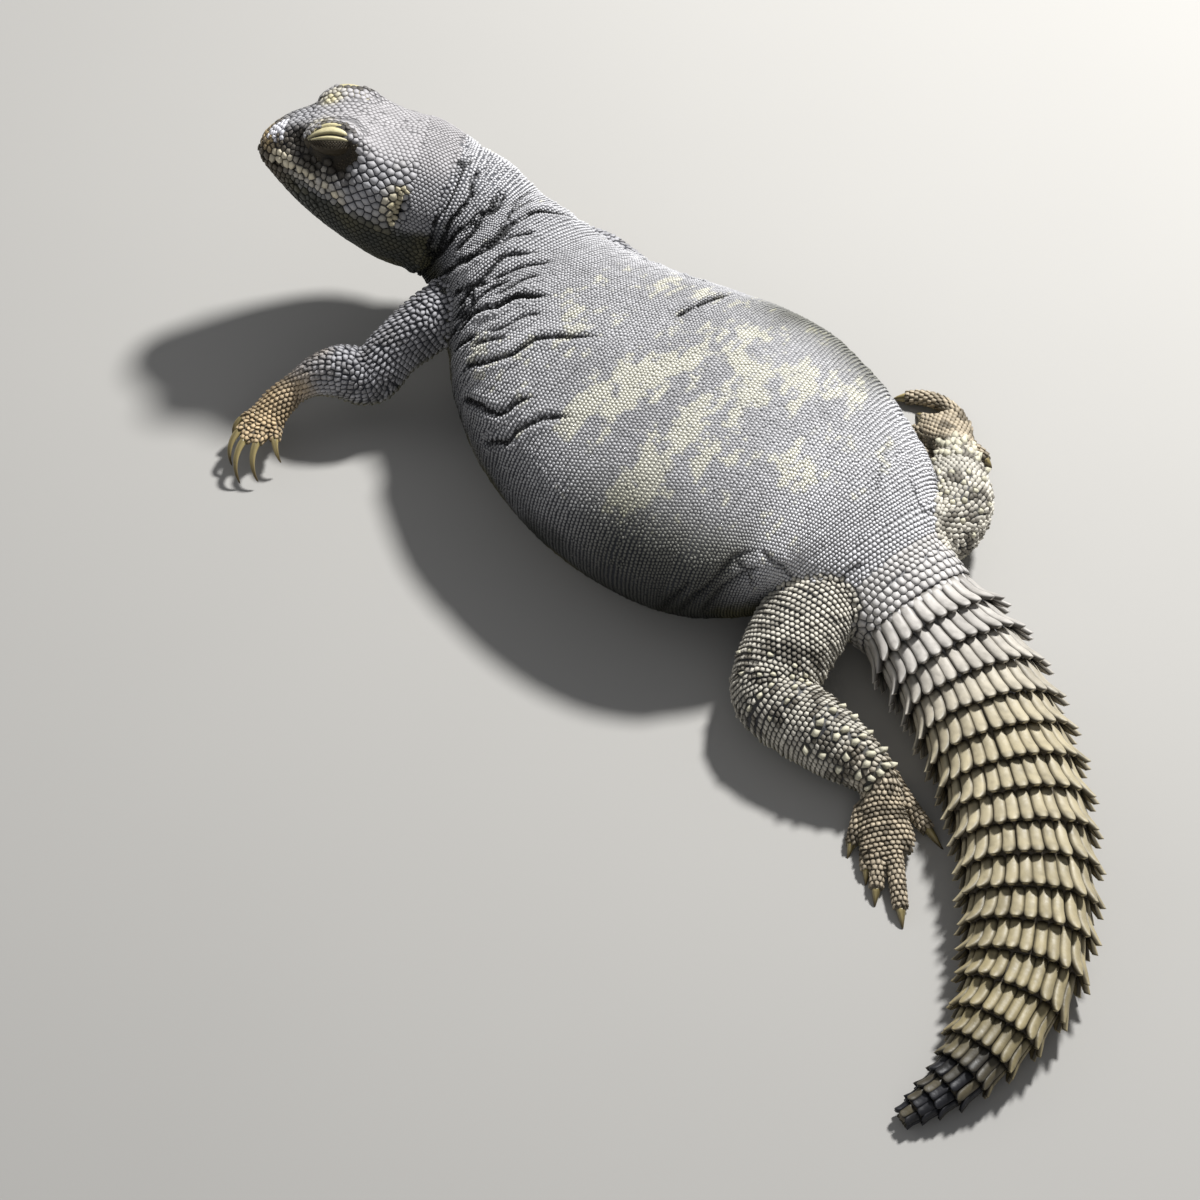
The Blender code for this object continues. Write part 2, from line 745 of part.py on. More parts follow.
def leg_ring(course, at, shift=0.0):
    x, y, z, width, height = course.row(at)
    ahead = course.tangent(at)
    side = ahead.cross(Vector((0, 0, 1))).normalized()
    up = side.cross(ahead)
    centre = Vector((x, y, z)) + ahead * shift
    return section(centre, side, up, width, height, height, LEG_SIDES)


def claw(root, ahead, down, length, radius, curl):
    """A curved, pointed claw that starts at a flat root and bends down to its tip."""
    rings = []
    down = (down - ahead * ahead.dot(down)).normalized()
    side = ahead.cross(down)
    place = root.copy()
    for step in range(CLAW_STEPS + 1):
        share = step / CLAW_STEPS
        bend = math.radians(curl * share)
        along = ahead * math.cos(bend) + down * math.sin(bend)
        up = -(down * math.cos(bend) - ahead * math.sin(bend))
        size = radius * (1 - CLAW_TAPER * share)
        rings.append(section(place, side, up, size * CLAW_THINNESS, size, size, CLAW_SIDES))
        place = place + along * length / (CLAW_STEPS + 1)
    return loft(rings, last_tip=place)


def digits(leg, table, radius, hand, palm_course, collection, foot, grip):
    """Toes joined to the palm, with a separate claw a gap beyond each toe's end."""
    end = palm_course.length
    toe_end, curl, sweep = grip
    x, y, z = palm_course.row(end)[:3]
    ahead = palm_course.tangent(end)
    flat = Vector((ahead.x, ahead.y, 0)).normalized()
    toes = []
    side = Vector((-flat.y, flat.x, 0)) * hand
    for number, (onward, offset, spread, turning, length, claw_length) in enumerate(table, 1):
        heading = Matrix.Rotation(math.radians(spread * hand), 3, "Z") @ flat
        start = Vector((x, y, z)) + side * offset + flat * onward - heading * TOE_ROOT
        thin = radius * (0.86 + 0.04 * min(number, 4))
        low = thin * 0.7 + toe_end
        middle_height = max(z, low) + thin * 0.25
        points = []
        radii = []
        place = Vector((start.x, start.y, 0))
        for step in range(TOE_STEPS + 1):
            share = step / TOE_STEPS
            height = middle_height + (low - middle_height) * share**1.6
            points.append(place + Vector((0, 0, height)))
            radii.append(thin * (1.0 - 0.22 * share))
            turned = Matrix.Rotation(math.radians(turning * hand) * share, 3, "Z") @ heading
            place = place + turned * (TOE_ROOT + length) / TOE_STEPS
        toes.append(tube(points, radii, TOE_SIDES))
        aim = (points[-1] - points[-2]).normalized()
        root = points[-1] + aim * (GAP / MM)
        nail = claw(root, aim, Vector(sweep), claw_length, radii[-1] * 0.86, curl)
        cut_at_floor(nail)
        name = f"claw_{leg}_{number}"
        finish(object_from(nail, name, collection), "claw_horn")
    boolean(foot, toes, "UNION")
    floor_object(foot)


def tubercles(course, first, last, field, draw):
    """Blunt cones in staggered rows on one face of a leg piece, leaning towards the foot."""
    start, end, low, high, rows, size = field
    found = []
    for row in range(rows):
        share = start + (end - start) * (row + 0.5) / rows
        at = first + (last - first) * share
        x, y, z, width, height = course.row(at)
        ahead = course.tangent(at)
        side = ahead.cross(Vector((0, 0, 1))).normalized()
        up = side.cross(ahead)
        for place in range(TUBERCLES_ACROSS - row % 2):
            offset = 0.5 * (row % 2)
            across = (place + 0.5 + offset) / TUBERCLES_ACROSS
            angle = math.radians(low + (high - low) * across + draw.uniform(-5, 5))
            surface = side * width * math.cos(angle) + up * height * math.sin(angle)
            normal = (side * math.cos(angle) / width + up * math.sin(angle) / height).normalized()
            lean = (normal + ahead * 0.55).normalized()
            root = Vector((x, y, z)) + surface
            scale = size * draw.uniform(0.8, 1.15)
            base = section(
                root - normal * TUBERCLE_RADIUS * scale * 0.8,
                ahead.cross(normal).normalized(),
                ahead,
                TUBERCLE_RADIUS * scale,
                TUBERCLE_RADIUS * scale,
                TUBERCLE_RADIUS * scale,
                5,
            )
            found.append(loft([base], last_tip=root + lean * TUBERCLE_LENGTH * 0.6 * scale))
    return found


def trim(obj, point, direction):
    """Keeps what lies on a plane's far side, as its direction points, and closes the cut."""
    bm = bmesh.new()
    bm.from_mesh(obj.data)
    everything = bm.verts[:] + bm.edges[:] + bm.faces[:]
    bmesh.ops.bisect_plane(
        bm, geom=everything, plane_co=point * MM, plane_no=direction, dist=1e-7, clear_inner=True
    )
    bmesh.ops.holes_fill(bm, edges=[e for e in bm.edges if e.is_boundary], sides=0)
    bmesh.ops.recalc_face_normals(bm, faces=bm.faces)
    bm.to_mesh(obj.data)
    bm.free()
    keep_largest(obj)


def build_leg(leg, names, table, digit_table, radius, hand, against, collection, grip, draw):
    course = Course(table)
    joints = [course.distances[i] for i in JOINTS]
    cuts = [0.0] + joints + [course.length]
    pieces = []
    for number, name in enumerate(names):
        first, last = cuts[number], cuts[number + 1]
        at = np.linspace(first, last, LEG_RINGS)
        rings = [leg_ring(course, where) for where in at]
        if number > 0:
            rings.insert(0, leg_ring(course, first, -JOINT_OVERRUN))
        if number < len(joints):
            rings.append(leg_ring(course, last, JOINT_OVERRUN))
        obj = object_from(loft(rings), f"{leg}_{name}", collection)
        pieces.append(obj)
        field = TUBERCLE_FIELDS.get(obj.name)
        if field:
            boolean(obj, tubercles(course, first, last, field, draw), "UNION")
    digits(leg, digit_table, radius, hand, course, collection, pieces[2], grip)
    for number, obj in enumerate(pieces):
        for sign, joint in ((1, number - 1), (-1, number)):
            if 0 <= joint < len(joints):
                ahead = course.tangent(joints[joint]) * sign
                trim(obj, Vector(course.row(joints[joint])[:3]) + ahead * GAP / MM / 2, ahead)
    for obj in pieces[:2]:
        for other in against:
            boolean(obj, [grown(other, GAP * ROOT_CLEARANCE)], "DIFFERENCE")
        floor_object(obj)
    for obj, finish_name in zip(pieces, ("skin", "skin", "feet")):
        finish(obj, finish_name)


def main():
    for obj in list(bpy.data.objects):
        bpy.data.objects.remove(obj, do_unlink=True)
    collection = bpy.data.collections.new(COLLECTION)
    bpy.context.scene.collection.children.link(collection)
    draw = random.Random(SEED)
    course = Course(BODY)
    build_head(collection)
    neck, torso = build_trunk(course, collection)
    tails = build_tail(course, collection, draw)
    fore = ("upper", "lower", "hand")
    hind = ("thigh", "shin", "foot")
    near = (neck, torso, tails[0])
    for leg, names, table, digit_table, radius, hand, grip in (
        ("foreleg_left", fore, FORELEG_LEFT, FORE_DIGITS_LEFT, FORE_TOE_RADIUS, -1, LIFTED_GRIP),
        ("foreleg_right", fore, FORELEG_RIGHT, FORE_DIGITS_RIGHT, FORE_TOE_RADIUS, 1, FLAT_GRIP),
        ("hindleg_left", hind, HINDLEG_LEFT, HIND_DIGITS_LEFT, HIND_TOE_RADIUS, -1, FLAT_GRIP),
        ("hindleg_right", hind, HINDLEG_RIGHT, HIND_DIGITS_RIGHT, HIND_TOE_RADIUS, 1, FLAT_GRIP),
    ):
        build_leg(leg, names, table, digit_table, radius, hand, near, collection, grip, draw)


main()
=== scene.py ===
"""Life-size model of an Egyptian spiny-tailed lizard at rest: skin, scales, tail scutes, lids
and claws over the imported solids, with a plain stage."""

import functools
import math
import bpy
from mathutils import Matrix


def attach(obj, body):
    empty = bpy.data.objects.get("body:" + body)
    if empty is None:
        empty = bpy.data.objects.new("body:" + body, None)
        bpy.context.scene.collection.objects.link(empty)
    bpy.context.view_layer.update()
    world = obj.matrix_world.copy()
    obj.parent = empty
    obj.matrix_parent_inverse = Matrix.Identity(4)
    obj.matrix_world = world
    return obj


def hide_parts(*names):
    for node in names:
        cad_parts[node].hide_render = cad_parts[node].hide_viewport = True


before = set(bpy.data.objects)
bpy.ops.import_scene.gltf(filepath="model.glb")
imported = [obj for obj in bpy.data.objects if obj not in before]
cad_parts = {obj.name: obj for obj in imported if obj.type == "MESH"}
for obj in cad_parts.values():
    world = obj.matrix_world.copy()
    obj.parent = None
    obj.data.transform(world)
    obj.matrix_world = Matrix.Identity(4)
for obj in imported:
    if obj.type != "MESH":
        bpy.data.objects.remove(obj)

import types

import bpy
import numpy as np
from mathutils import Matrix, Vector
from mathutils.bvhtree import BVHTree
from mathutils.kdtree import KDTree

bl_info = {
    "name": "Spiny-tailed lizard",
    "version": (1, 0, 0),
    "blender": (4, 5, 0),
    "location": "View3D > Sidebar > Lizard",
    "description": "Skin, scales, tail scutes, lids and claws of a life-size resting lizard",
    "category": "Object",
}

MM = 0.001
SEED = 11
LATTICE_SIDE = 32
LATTICE = np.random.default_rng(SEED).random((LATTICE_SIDE,) * 3)

# Head, in its own frame: x' ahead, y' to the left, z' up, in millimetres
HEAD_BASE = (-147.6, 4.4, 66.2)
HEAD_YAW, HEAD_PITCH, HEAD_ROLL = 30.0, 14.0, 20.0
HEAD_LOWER_SQUARENESS = 2.2
# Distance ahead, half width, middle, top, bottom and squareness of the upper half
HEAD_SECTIONS = np.array((
    (0, 30.5, 4, 32, -31, 2.3), (10, 33, 3, 34, -31, 2.4), (20, 34, 2, 33, -29.5, 2.5),
    (30, 33, 1, 30.5, -26.5, 3.0), (40, 30, 0, 31, -23.5, 3.5), (50, 26, -1, 30.5, -20, 3.7),
    (58, 21.5, -1.5, 27, -17, 3.3), (66, 17, -1, 22.3, -13, 2.9), (73, 13.3, 0, 17.4, -9, 2.6),
    (78.5, 9.5, 1.5, 12.2, -5.5, 2.3), (81.5, 5.5, 2.5, 7.5, -2.5, 2.1),
))
SNOUT_TIP = (82.7, 0, 2.5)
# Distance ahead, distance aside and rise of the brow ridge
BROW = np.array((
    (24, 21.5, 0), (33, 22, 1.8), (42, 21.3, 4.8), (50, 19.6, 6.2),
    (58, 16.6, 5.2), (66, 12.6, 3.2), (74, 8.2, 1.4), (80, 5, 0),
))
BROW_SPREAD = 4.6
# Lids and orbits, wider than the balls that they cover
LID_CENTRE = (51.0, 16.2, 22.8)
LID_RADII = np.array((13.4, 9.0, 8.8))
LID_LEAN = 8.0
LID_BEND = 8.6
EYE_TILT = 16.0
ORBIT_CENTRE = (51.5, 28.5, 21.5)
ORBIT_RADII = (14.6, 8.4, 10.2)
SLIT_HALF_LENGTH = 10.2
SLIT_LIFT = math.radians(30)
SLIT_ARCH = math.radians(15)
NOSTRIL_CENTRE = (75.5, 10.6, 8.6)
EAR_CENTRE = (15.5, 35.5, 8.0)
MOUTH_CORNER, MOUTH_LIFT, MOUTH_FRONT = 47.0, 4.6, -1.2
MOUTH_SIDE_END, MOUTH_TIP = 81.0, 82.6

# Neck, trunk and tail: x, y, z of the line, half width, reach above and below, and roll
BODY = (
    (-147.6, 4.4, 66.2, 30.5, 28, 33, 20), (-137, 9, 62, 30, 30, 32, 17),
    (-124, 9.5, 55, 31.5, 29.5, 32.5, 12), (-106, 7.5, 49, 37.5, 33.5, 34, 6),
    (-88, 3.5, 43, 46.5, 38, 36, 3), (-66, -2, 39, 57.5, 41.5, 38.5, 1),
    (-40, -6, 37, 67.5, 43.5, 39.5, 0), (-12, -6, 36, 75, 44, 39.5, 0),
    (14, -3, 36, 78, 44, 39.5, 0), (38, 2, 35, 76, 43, 37.5, 0),
    (60, 6.5, 32.5, 66.5, 39.5, 34.5, 0), (80, 8.5, 29.5, 53.5, 34.5, 30.5, 0),
    (96, 7, 26, 41, 29, 26.5, 0), (110, 4.5, 22.5, 32, 24, 23.5, 0),
    (124, 3, 20.5, 29, 20, 21.5, 0), (137, 0, 19, 29, 18.5, 20, 0),
    (164, -8.5, 18, 29.3, 17.5, 19, 0), (187, -20, 17, 28.4, 16.5, 18, 0),
    (212, -36.5, 16, 27.4, 15.5, 17, 0), (233.5, -55.5, 15, 26.2, 14.5, 16, 0),
    (253, -78, 13.5, 24.6, 13.4, 14.5, 0), (267, -101.5, 12, 22, 11.8, 12.8, 0),
    (274, -127, 10.2, 16.2, 9.8, 10.8, 0), (275.5, -148, 7.8, 11, 7.4, 8.3, 0),
    (272.5, -164.5, 5.4, 7, 5, 5.7, 0), (269, -177, 3.4, 3.6, 2.8, 3.5, 0),
)
BODY_SQUARENESS = 2.25
TRUNK_END_X = 122.0
ROOT_ROW_LENGTH = 7.0
WHORLS = 20
WHORL_LENGTH = 14.4
LONG_WHORLS = 14
WHORL_SHRINK = 0.862

# Legs: x, y, z of the line, half width and half height
LEGS = {
    "foreleg_left": (
        (-113, -14, 46, 15, 16), (-118, -32, 43, 13.5, 14.5), (-124, -50, 34, 11.5, 13),
        (-127, -64, 25, 11.5, 13), (-136, -70, 27, 11.5, 13), (-145, -78, 24.5, 9, 9.5),
        (-150, -86, 20, 6.8, 6.2), (-152, -94, 17, 7.8, 5.4), (-152.5, -104, 12.5, 8.4, 4.6),
        (-152, -109, 10.5, 8, 3.8),
    ),
    "foreleg_right": (
        (-112, 18, 44, 14, 15), (-107, 36, 39, 12.5, 13.5), (-96, 51, 30, 11, 12.5),
        (-86, 58, 19, 10.5, 12), (-94, 62, 15, 10, 11), (-106, 62, 11, 8, 8),
        (-116, 62, 8, 6.8, 5.6), (-125, 61, 7, 8.5, 4.8), (-137, 60, 5.2, 10, 4.0),
        (-142, 59.5, 4.6, 9, 3.5),
    ),
    "hindleg_left": (
        (98, -12, 26, 16, 16), (99, -32, 26, 19, 18), (103, -52, 22, 19, 18),
        (110, -68.5, 18, 16.5, 16), (125, -70, 17.5, 15.8, 15.2), (146, -68.5, 15.5, 14, 13.5),
        (167, -67.5, 11.2, 8.6, 8.8), (174, -74, 9, 8.5, 6), (186, -84, 6.6, 11, 4.8),
        (191, -88.5, 5.4, 9.5, 3.9),
    ),
    "hindleg_right": (
        (92, 12, 26, 15, 15), (101, 25, 26, 16, 16), (108, 36, 24, 16, 16),
        (110, 45, 23, 15.5, 15.5), (106, 55, 22.5, 15.5, 15.5), (97, 67, 19.5, 13.5, 13.5),
        (86.5, 80, 13.5, 8.8, 9.2), (80, 87, 10, 8.8, 6.6), (70, 95, 6.6, 11, 4.8),
        (64.5, 99, 5.4, 9.5, 3.9),
    ),
}
LEG_NODES = {"foreleg": ("upper", "lower", "hand"), "hindleg": ("thigh", "shin", "foot")}
# Digits, inner one first: distance ahead of the palm's end and to its inner side, the way each
# leaves, how far it turns, its length and its claw's
DIGITS = {
    "foreleg_left": (
        (-3.5, 5.2, 26, 0, 6, 9), (-0.5, 3.6, 5, 0, 9, 16), (0.0, -0.2, -3, 0, 11, 20),
        (-1.0, -4.0, -13, 0, 10, 18), (-4.0, -6.6, -36, 0, 8, 11),
    ),
    "foreleg_right": (
        (-2.0, 6.0, 26, 0, 9, 9), (0.0, 3.5, 13, 0, 12, 12), (0.0, 0.0, 0, 0, 13, 13),
        (-1.0, -3.8, -13, 0, 12, 12), (-4.0, -6.5, -34, 0, 9, 9),
    ),
    "hindleg_left": (
        (-17.0, 10.5, 24, 0, 10, 6), (-10.0, 7.5, 10, 0, 15, 6), (-4.0, 3.6, 12, 0, 19, 6.5),
        (-1.0, -1.5, 1, 0, 26, 7), (-31.0, -7.0, -22, -12, 22, 10.5),
    ),
    "hindleg_right": (
        (-19.0, 8.0, 42, 0, 8, 5), (-12.0, 6.5, 30, 0, 12, 5.5), (-7.0, 3.4, 20, 4, 12, 5.5),
        (-1.0, -5.5, 2, 88, 27, 6), (-19.0, -8.5, -112, -40, 7, 4),
    ),
}
HANDS = {"foreleg_left": -1, "foreleg_right": 1, "hindleg_left": -1, "hindleg_right": 1}
TOE_ROOT = 7.0
TOE_STEPS = 5
TOE_RADIUS = {"foreleg": 3.1, "hindleg": 3.7}
CLAW_TAPER = 0.78
CLAW_THINNESS = 0.8
# How high the toes end, how far the claws curl and the way that they curl
LIFTED_GRIP = (11.0, 78.0, (0.75, -0.25, -1.0))
FLAT_GRIP = (0.0, 26.0, (0.0, 0.0, -1.0))
GAP = 0.3


# Numbers


def unit(vectors):
    return vectors / np.maximum(np.linalg.norm(vectors, axis=-1, keepdims=True), 1e-9)


def columns(*parts):
    return np.column_stack(parts)


def full_turn(count):
    return np.arange(count) * 2 * math.pi / count


def distances_along(points):
    """How far each point of a line lies from its first, along the line."""
    steps = np.linalg.norm(np.diff(points, axis=0), axis=1)
    return np.concatenate([[0.0], np.cumsum(steps)])


def ramp(values, low, high):
    share = np.clip((values - low) / (high - low), 0, 1)
    return share * share * (3 - 2 * share)


def bump(values, centre, half, power=2):
    """1 at the centre, falling off on both sides, the more steeply the higher the power."""
    return np.exp(-(((values - centre) / half) ** power))


def mix(first, second, share):
    share = np.asarray(share)[..., None]
    return np.asarray(first) * (1 - share) + np.asarray(second) * share


def cloud(points, size, shift=0.0):
    """Smooth random values from 0 to 1 in lumps of about this size."""
    place = points / size + shift
    low = np.floor(place).astype(int)
    part = place - low
    part = part * part * (3 - 2 * part)
    total = np.zeros(len(points))
    for corner in range(8):
        step = np.array([corner & 1, corner >> 1 & 1, corner >> 2 & 1])
        index = (low + step) % LATTICE_SIDE
        weight = np.prod(np.where(step == 1, part, 1 - part), axis=1)
        total += weight * LATTICE[index[:, 0], index[:, 1], index[:, 2]]
    return total


def tree_of(points):
    tree = KDTree(len(points))
    for number, point in enumerate(points):
        tree.insert(point, number)
    tree.balance()
    return tree


def nearest_of(tree, points):
    """Index of the nearest entry and its distance, for each point."""
    found = [tree.find(point)[1:] for point in points]
    return np.array([f[0] for f in found]), np.array([f[1] for f in found])


# Curves and surfaces, as whole arrays


def smooth_rows(table, distances, at):
    """The table's values on one smooth curve through its rows, at each distance along it."""
    at = np.atleast_1d(np.asarray(at, float))
    last = len(table) - 1
    i = np.clip(np.searchsorted(distances, at) - 1, 0, last - 1)
    before = np.maximum(i - 1, 0)
    after = np.minimum(i + 2, last)
    span = (distances[i + 1] - distances[i])[:, None]
    start = (table[i + 1] - table[before]) / (distances[i + 1] - distances[before])[:, None] * span
    end = (table[after] - table[i]) / (distances[after] - distances[i])[:, None] * span
    t = (at - distances[i])[:, None] / span
    rise = table[i + 1] - table[i]
    bend = (3 * rise - 2 * start - end) + t * (start + end - 2 * rise)
    return table[i] + t * (start + t * bend)


def signed_power(values, squareness):
    return np.sign(values) * np.abs(values) ** (2.0 / squareness)


def angles_round(surface, at, count):
    """Angles round one section from the top, and how far each lies from it along the skin.
    Angles fall on the side direction's side, where the distances are negative."""
    angle = math.pi / 2 + np.linspace(-math.pi, math.pi, count + 1)
    arc = distances_along(surface(np.full(count + 1, at), angle))
    return angle, arc - arc[count // 2]


class Course:
    """A smooth line through a table of sections, with the closed surface round it."""

    def __init__(self, rows, squareness=2.0):
        table = np.array(rows, float)
        if table.shape[1] == 5:
            table = columns(table, table[:, 4], np.zeros(len(table)))
        self.table = table
        self.squareness = squareness
        self.distances = distances_along(table[:, :3])
        self.length = self.distances[-1]

    def rows(self, at):
        return smooth_rows(self.table, self.distances, at)

    def tangents(self, at):
        at = np.atleast_1d(np.asarray(at, float))
        ahead = self.rows(np.minimum(at + 0.5, self.length))[:, :3]
        behind = self.rows(np.maximum(at - 0.5, 0.0))[:, :3]
        return unit(ahead - behind)

    def frames(self, at):
        """Side and up directions across the line, turned by the table's roll."""
        along = self.tangents(at)
        up = unit(np.array([0, 0, 1.0]) - along * along[:, 2:3])
        side = np.cross(along, up)
        roll = np.radians(self.rows(at)[:, 6:7])
        cos, sin = np.cos(roll), np.sin(roll)
        return side * cos + up * sin, up * cos - side * sin

    def surface(self, at, angle, out=0.0):
        """Points of the surface and the way outwards at distances and angles of equal count."""
        row = self.rows(at)
        side, up = self.frames(at)
        cos, sin = np.cos(angle)[:, None], np.sin(angle)[:, None]
        out = np.broadcast_to(out, np.shape(at))[:, None]
        width = row[:, 3:4] + out
        height = np.where(sin >= 0, row[:, 4:5], row[:, 5:6]) + out
        points = row[:, :3] + side * width * signed_power(cos, self.squareness)
        points = points + up * height * signed_power(sin, self.squareness)
        reach = 2.0 * self.squareness / (2.0 * self.squareness - 2.0)
        outwards = side * signed_power(cos, reach) / width + up * signed_power(sin, reach) / height
        return points, unit(outwards)

    def where_x(self, x):
        turn = int(np.argmax(self.table[:, 0])) + 1
        return float(np.interp(x, self.table[:turn, 0], self.distances[:turn]))

    def around(self, at, count=240):
        return angles_round(lambda *place: self.surface(*place)[0], at, count)

    def place_of(self, points):
        """Distance along the line and angle round it of points near its surface."""
        samples = np.linspace(0, self.length, int(self.length) + 1)
        line = self.rows(samples)[:, :3]
        nearest = np.empty(len(points), int)
        batch = 8000
        for first in range(0, len(points), batch):
            part = points[first : first + batch]
            gap = (part**2).sum(1)[:, None] - 2 * part @ line.T + (line**2).sum(1)
            nearest[first : first + batch] = gap.argmin(1)
        at = samples[nearest]
        along = self.tangents(at)
        at = np.clip(at + ((points - line[nearest]) * along).sum(1), 0, self.length)
        row = self.rows(at)
        side, up = self.frames(at)
        away = points - row[:, :3]
        x, y = (away * side).sum(1), (away * up).sum(1)
        across = x / row[:, 3]
        high = y / np.where(y >= 0, row[:, 4], row[:, 5])
        inverse = 4.0 / self.squareness
        return at, np.arctan2(signed_power(high, inverse), signed_power(across, inverse))


def head_axes():
    """The head's place and its ahead, left and up directions, in the model's frame."""
    yaw, pitch, roll = (math.radians(turn) for turn in (HEAD_YAW, HEAD_PITCH, HEAD_ROLL))
    level = math.cos(pitch)
    ahead = -np.array([level * math.cos(yaw), level * math.sin(yaw), -math.sin(pitch)])
    up = np.array([0, 0, 1.0]) - ahead * ahead[2]
    up /= np.linalg.norm(up)
    side = np.cross(ahead, up)
    right = side * math.cos(roll) - up * math.sin(roll)
    top = up * math.cos(roll) + side * math.sin(roll)
    return np.array(HEAD_BASE), np.array([ahead, -right, top])


HEAD_PLACE, HEAD_TURN = head_axes()


def from_head(points):
    return HEAD_PLACE + np.asarray(points, float) @ HEAD_TURN


def to_head(points):
    return (np.asarray(points, float) - HEAD_PLACE) @ HEAD_TURN.T


def head_rows(at):
    """Half width, middle, top, bottom and upper squareness of the head at distances ahead."""
    return smooth_rows(HEAD_SECTIONS, HEAD_SECTIONS[:, 0], at).T[1:]


def head_surface(at, angle, out=0.0):
    """Points of the head's surface in its own frame. The angle is 0 on the left and 90 on top."""
    row = smooth_rows(HEAD_SECTIONS, HEAD_SECTIONS[:, 0], at)
    width, middle, top = row[:, 1] + out, row[:, 2], row[:, 3] + out
    bottom, squareness = row[:, 4] - out, row[:, 5]
    cos, sin = np.cos(angle), np.sin(angle)
    shape = np.where(sin >= 0, squareness, HEAD_LOWER_SQUARENESS)
    y = width * signed_power(cos, shape)
    z = middle + np.where(sin >= 0, top - middle, middle - bottom) * signed_power(sin, shape)
    aside = np.interp(at, BROW[:, 0], BROW[:, 1])
    rise = np.interp(at, BROW[:, 0], BROW[:, 2])
    z = z + np.where(z > middle, rise * bump(np.abs(y), aside, BROW_SPREAD), 0)
    return columns(row[:, 0], y, z)


def head_half_width(at, height):
    width, middle, top, bottom, squareness = head_rows(at)
    upper = height >= middle
    reach = np.where(upper, top - middle, middle - bottom)
    shape = np.where(upper, squareness, HEAD_LOWER_SQUARENESS)
    share = np.minimum(np.abs(height - middle) / reach, 0.999)
    return width * (1 - share**shape) ** (1 / shape)


def mouth_line(count, above=0.0):
    """The parting of the lips from its left corner to the snout's tip, in the head's frame."""
    share = np.linspace(0, 1, count)
    ahead = MOUTH_CORNER + (MOUTH_SIDE_END - MOUTH_CORNER) * share
    rise = (MOUTH_LIFT - MOUTH_FRONT) * np.minimum(1.0, (1 - share) * 1.7)
    height = MOUTH_FRONT + rise + above
    line = columns(ahead, head_half_width(ahead, height), height)
    return np.vstack([line, [[MOUTH_TIP, 0, MOUTH_FRONT + above]]])


def turned(direction, degrees):
    """A level direction turned about the upright."""
    cos, sin = math.cos(math.radians(degrees)), math.sin(math.radians(degrees))
    x, y, z = direction
    return np.array([x * cos - y * sin, x * sin + y * cos, z])


BODY_COURSE = Course(BODY, BODY_SQUARENESS)
LEG_COURSES = {leg: Course(rows) for leg, rows in LEGS.items()}
TRUNK_END = BODY_COURSE.where_x(TRUNK_END_X)


def toe_courses():
    """Each toe's line and its claw's root, direction, down direction, length, radius and curl."""
    found = {}
    for leg, table in DIGITS.items():
        course, hand = LEG_COURSES[leg], HANDS[leg]
        x, y, z = course.rows(course.length)[0, :3]
        flat = course.tangents(course.length)[0] * (1, 1, 0)
        flat /= np.linalg.norm(flat)
        side = np.array([-flat[1], flat[0], 0]) * hand
        radius = TOE_RADIUS[leg.split("_")[0]]
        toe_end, curl, sweep = LIFTED_GRIP if leg == "foreleg_left" else FLAT_GRIP
        for number, (onward, offset, spread, turning, length, claw) in enumerate(table, 1):
            heading = turned(flat, spread * hand)
            place = np.array([x, y, 0]) + side * offset + flat * onward - heading * TOE_ROOT
            thin = radius * (0.86 + 0.04 * min(number, 4))
            low = thin * 0.7 + toe_end
            middle = max(z, low) + thin * 0.25
            rows = []
            for step in range(TOE_STEPS + 1):
                share = step / TOE_STEPS
                size = thin * (1.0 - 0.22 * share)
                height = middle + (low - middle) * share**1.6
                rows.append((place[0], place[1], height, size, size))
                way = turned(heading, turning * hand * share)
                place = place + way * (TOE_ROOT + length) / TOE_STEPS
            aim = unit(np.array(rows[-1][:3]) - np.array(rows[-2][:3]))
            root = np.array(rows[-1][:3]) + aim * GAP
            found[f"{leg}_{number}"] = (
                Course(rows), (root, aim, np.array(sweep), claw, size * 0.86, curl)
            )
    return found


TOES = toe_courses()


def whorl_starts():
    """Where each whorl of the tail starts along the body's line, and its length."""
    late = np.maximum(0, np.arange(WHORLS) - LONG_WHORLS + 1)
    lengths = np.array([WHORL_LENGTH * WHORL_SHRINK ** int(steps) for steps in late])
    starts = TRUNK_END + ROOT_ROW_LENGTH + np.concatenate([[0.0], np.cumsum(lengths)[:-1]])
    return starts, lengths


# Meshes from arrays


def new_mesh(name, points, groups):
    """A mesh from points in millimetres and arrays of triangles or four-sided faces."""
    mesh = bpy.data.meshes.new(name)
    mesh.vertices.add(len(points))
    mesh.vertices.foreach_set("co", (np.asarray(points) * MM).astype(np.float32).ravel())
    corners = np.concatenate([group.ravel() for group in groups]).astype(np.int32)
    sizes = np.concatenate([np.full(len(group), group.shape[1]) for group in groups])
    mesh.loops.add(len(corners))
    mesh.loops.foreach_set("vertex_index", corners)
    mesh.polygons.add(len(sizes))
    starts = np.concatenate([[0], np.cumsum(sizes)[:-1]]).astype(np.int32)
    mesh.polygons.foreach_set("loop_start", starts)
    mesh.update(calc_edges=True)
    mesh.shade_smooth()
    return mesh


def paint(mesh, colours):
    """Writes one colour for each point as the attribute that the finishes read."""
    layer = mesh.color_attributes.new("tint", "FLOAT_COLOR", "POINT")
    full = columns(colours, np.ones(len(colours))).astype(np.float32)
    layer.data.foreach_set("color", full.ravel())


def bake_map(mesh, places):
    """The OFBake map from one place for each point."""
    corners = np.empty(len(mesh.loops), np.int32)
    mesh.loops.foreach_get("vertex_index", corners)
    layer = mesh.uv_layers.new(name="OFBake")
    layer.data.foreach_set("uv", places[corners].astype(np.float32).ravel())


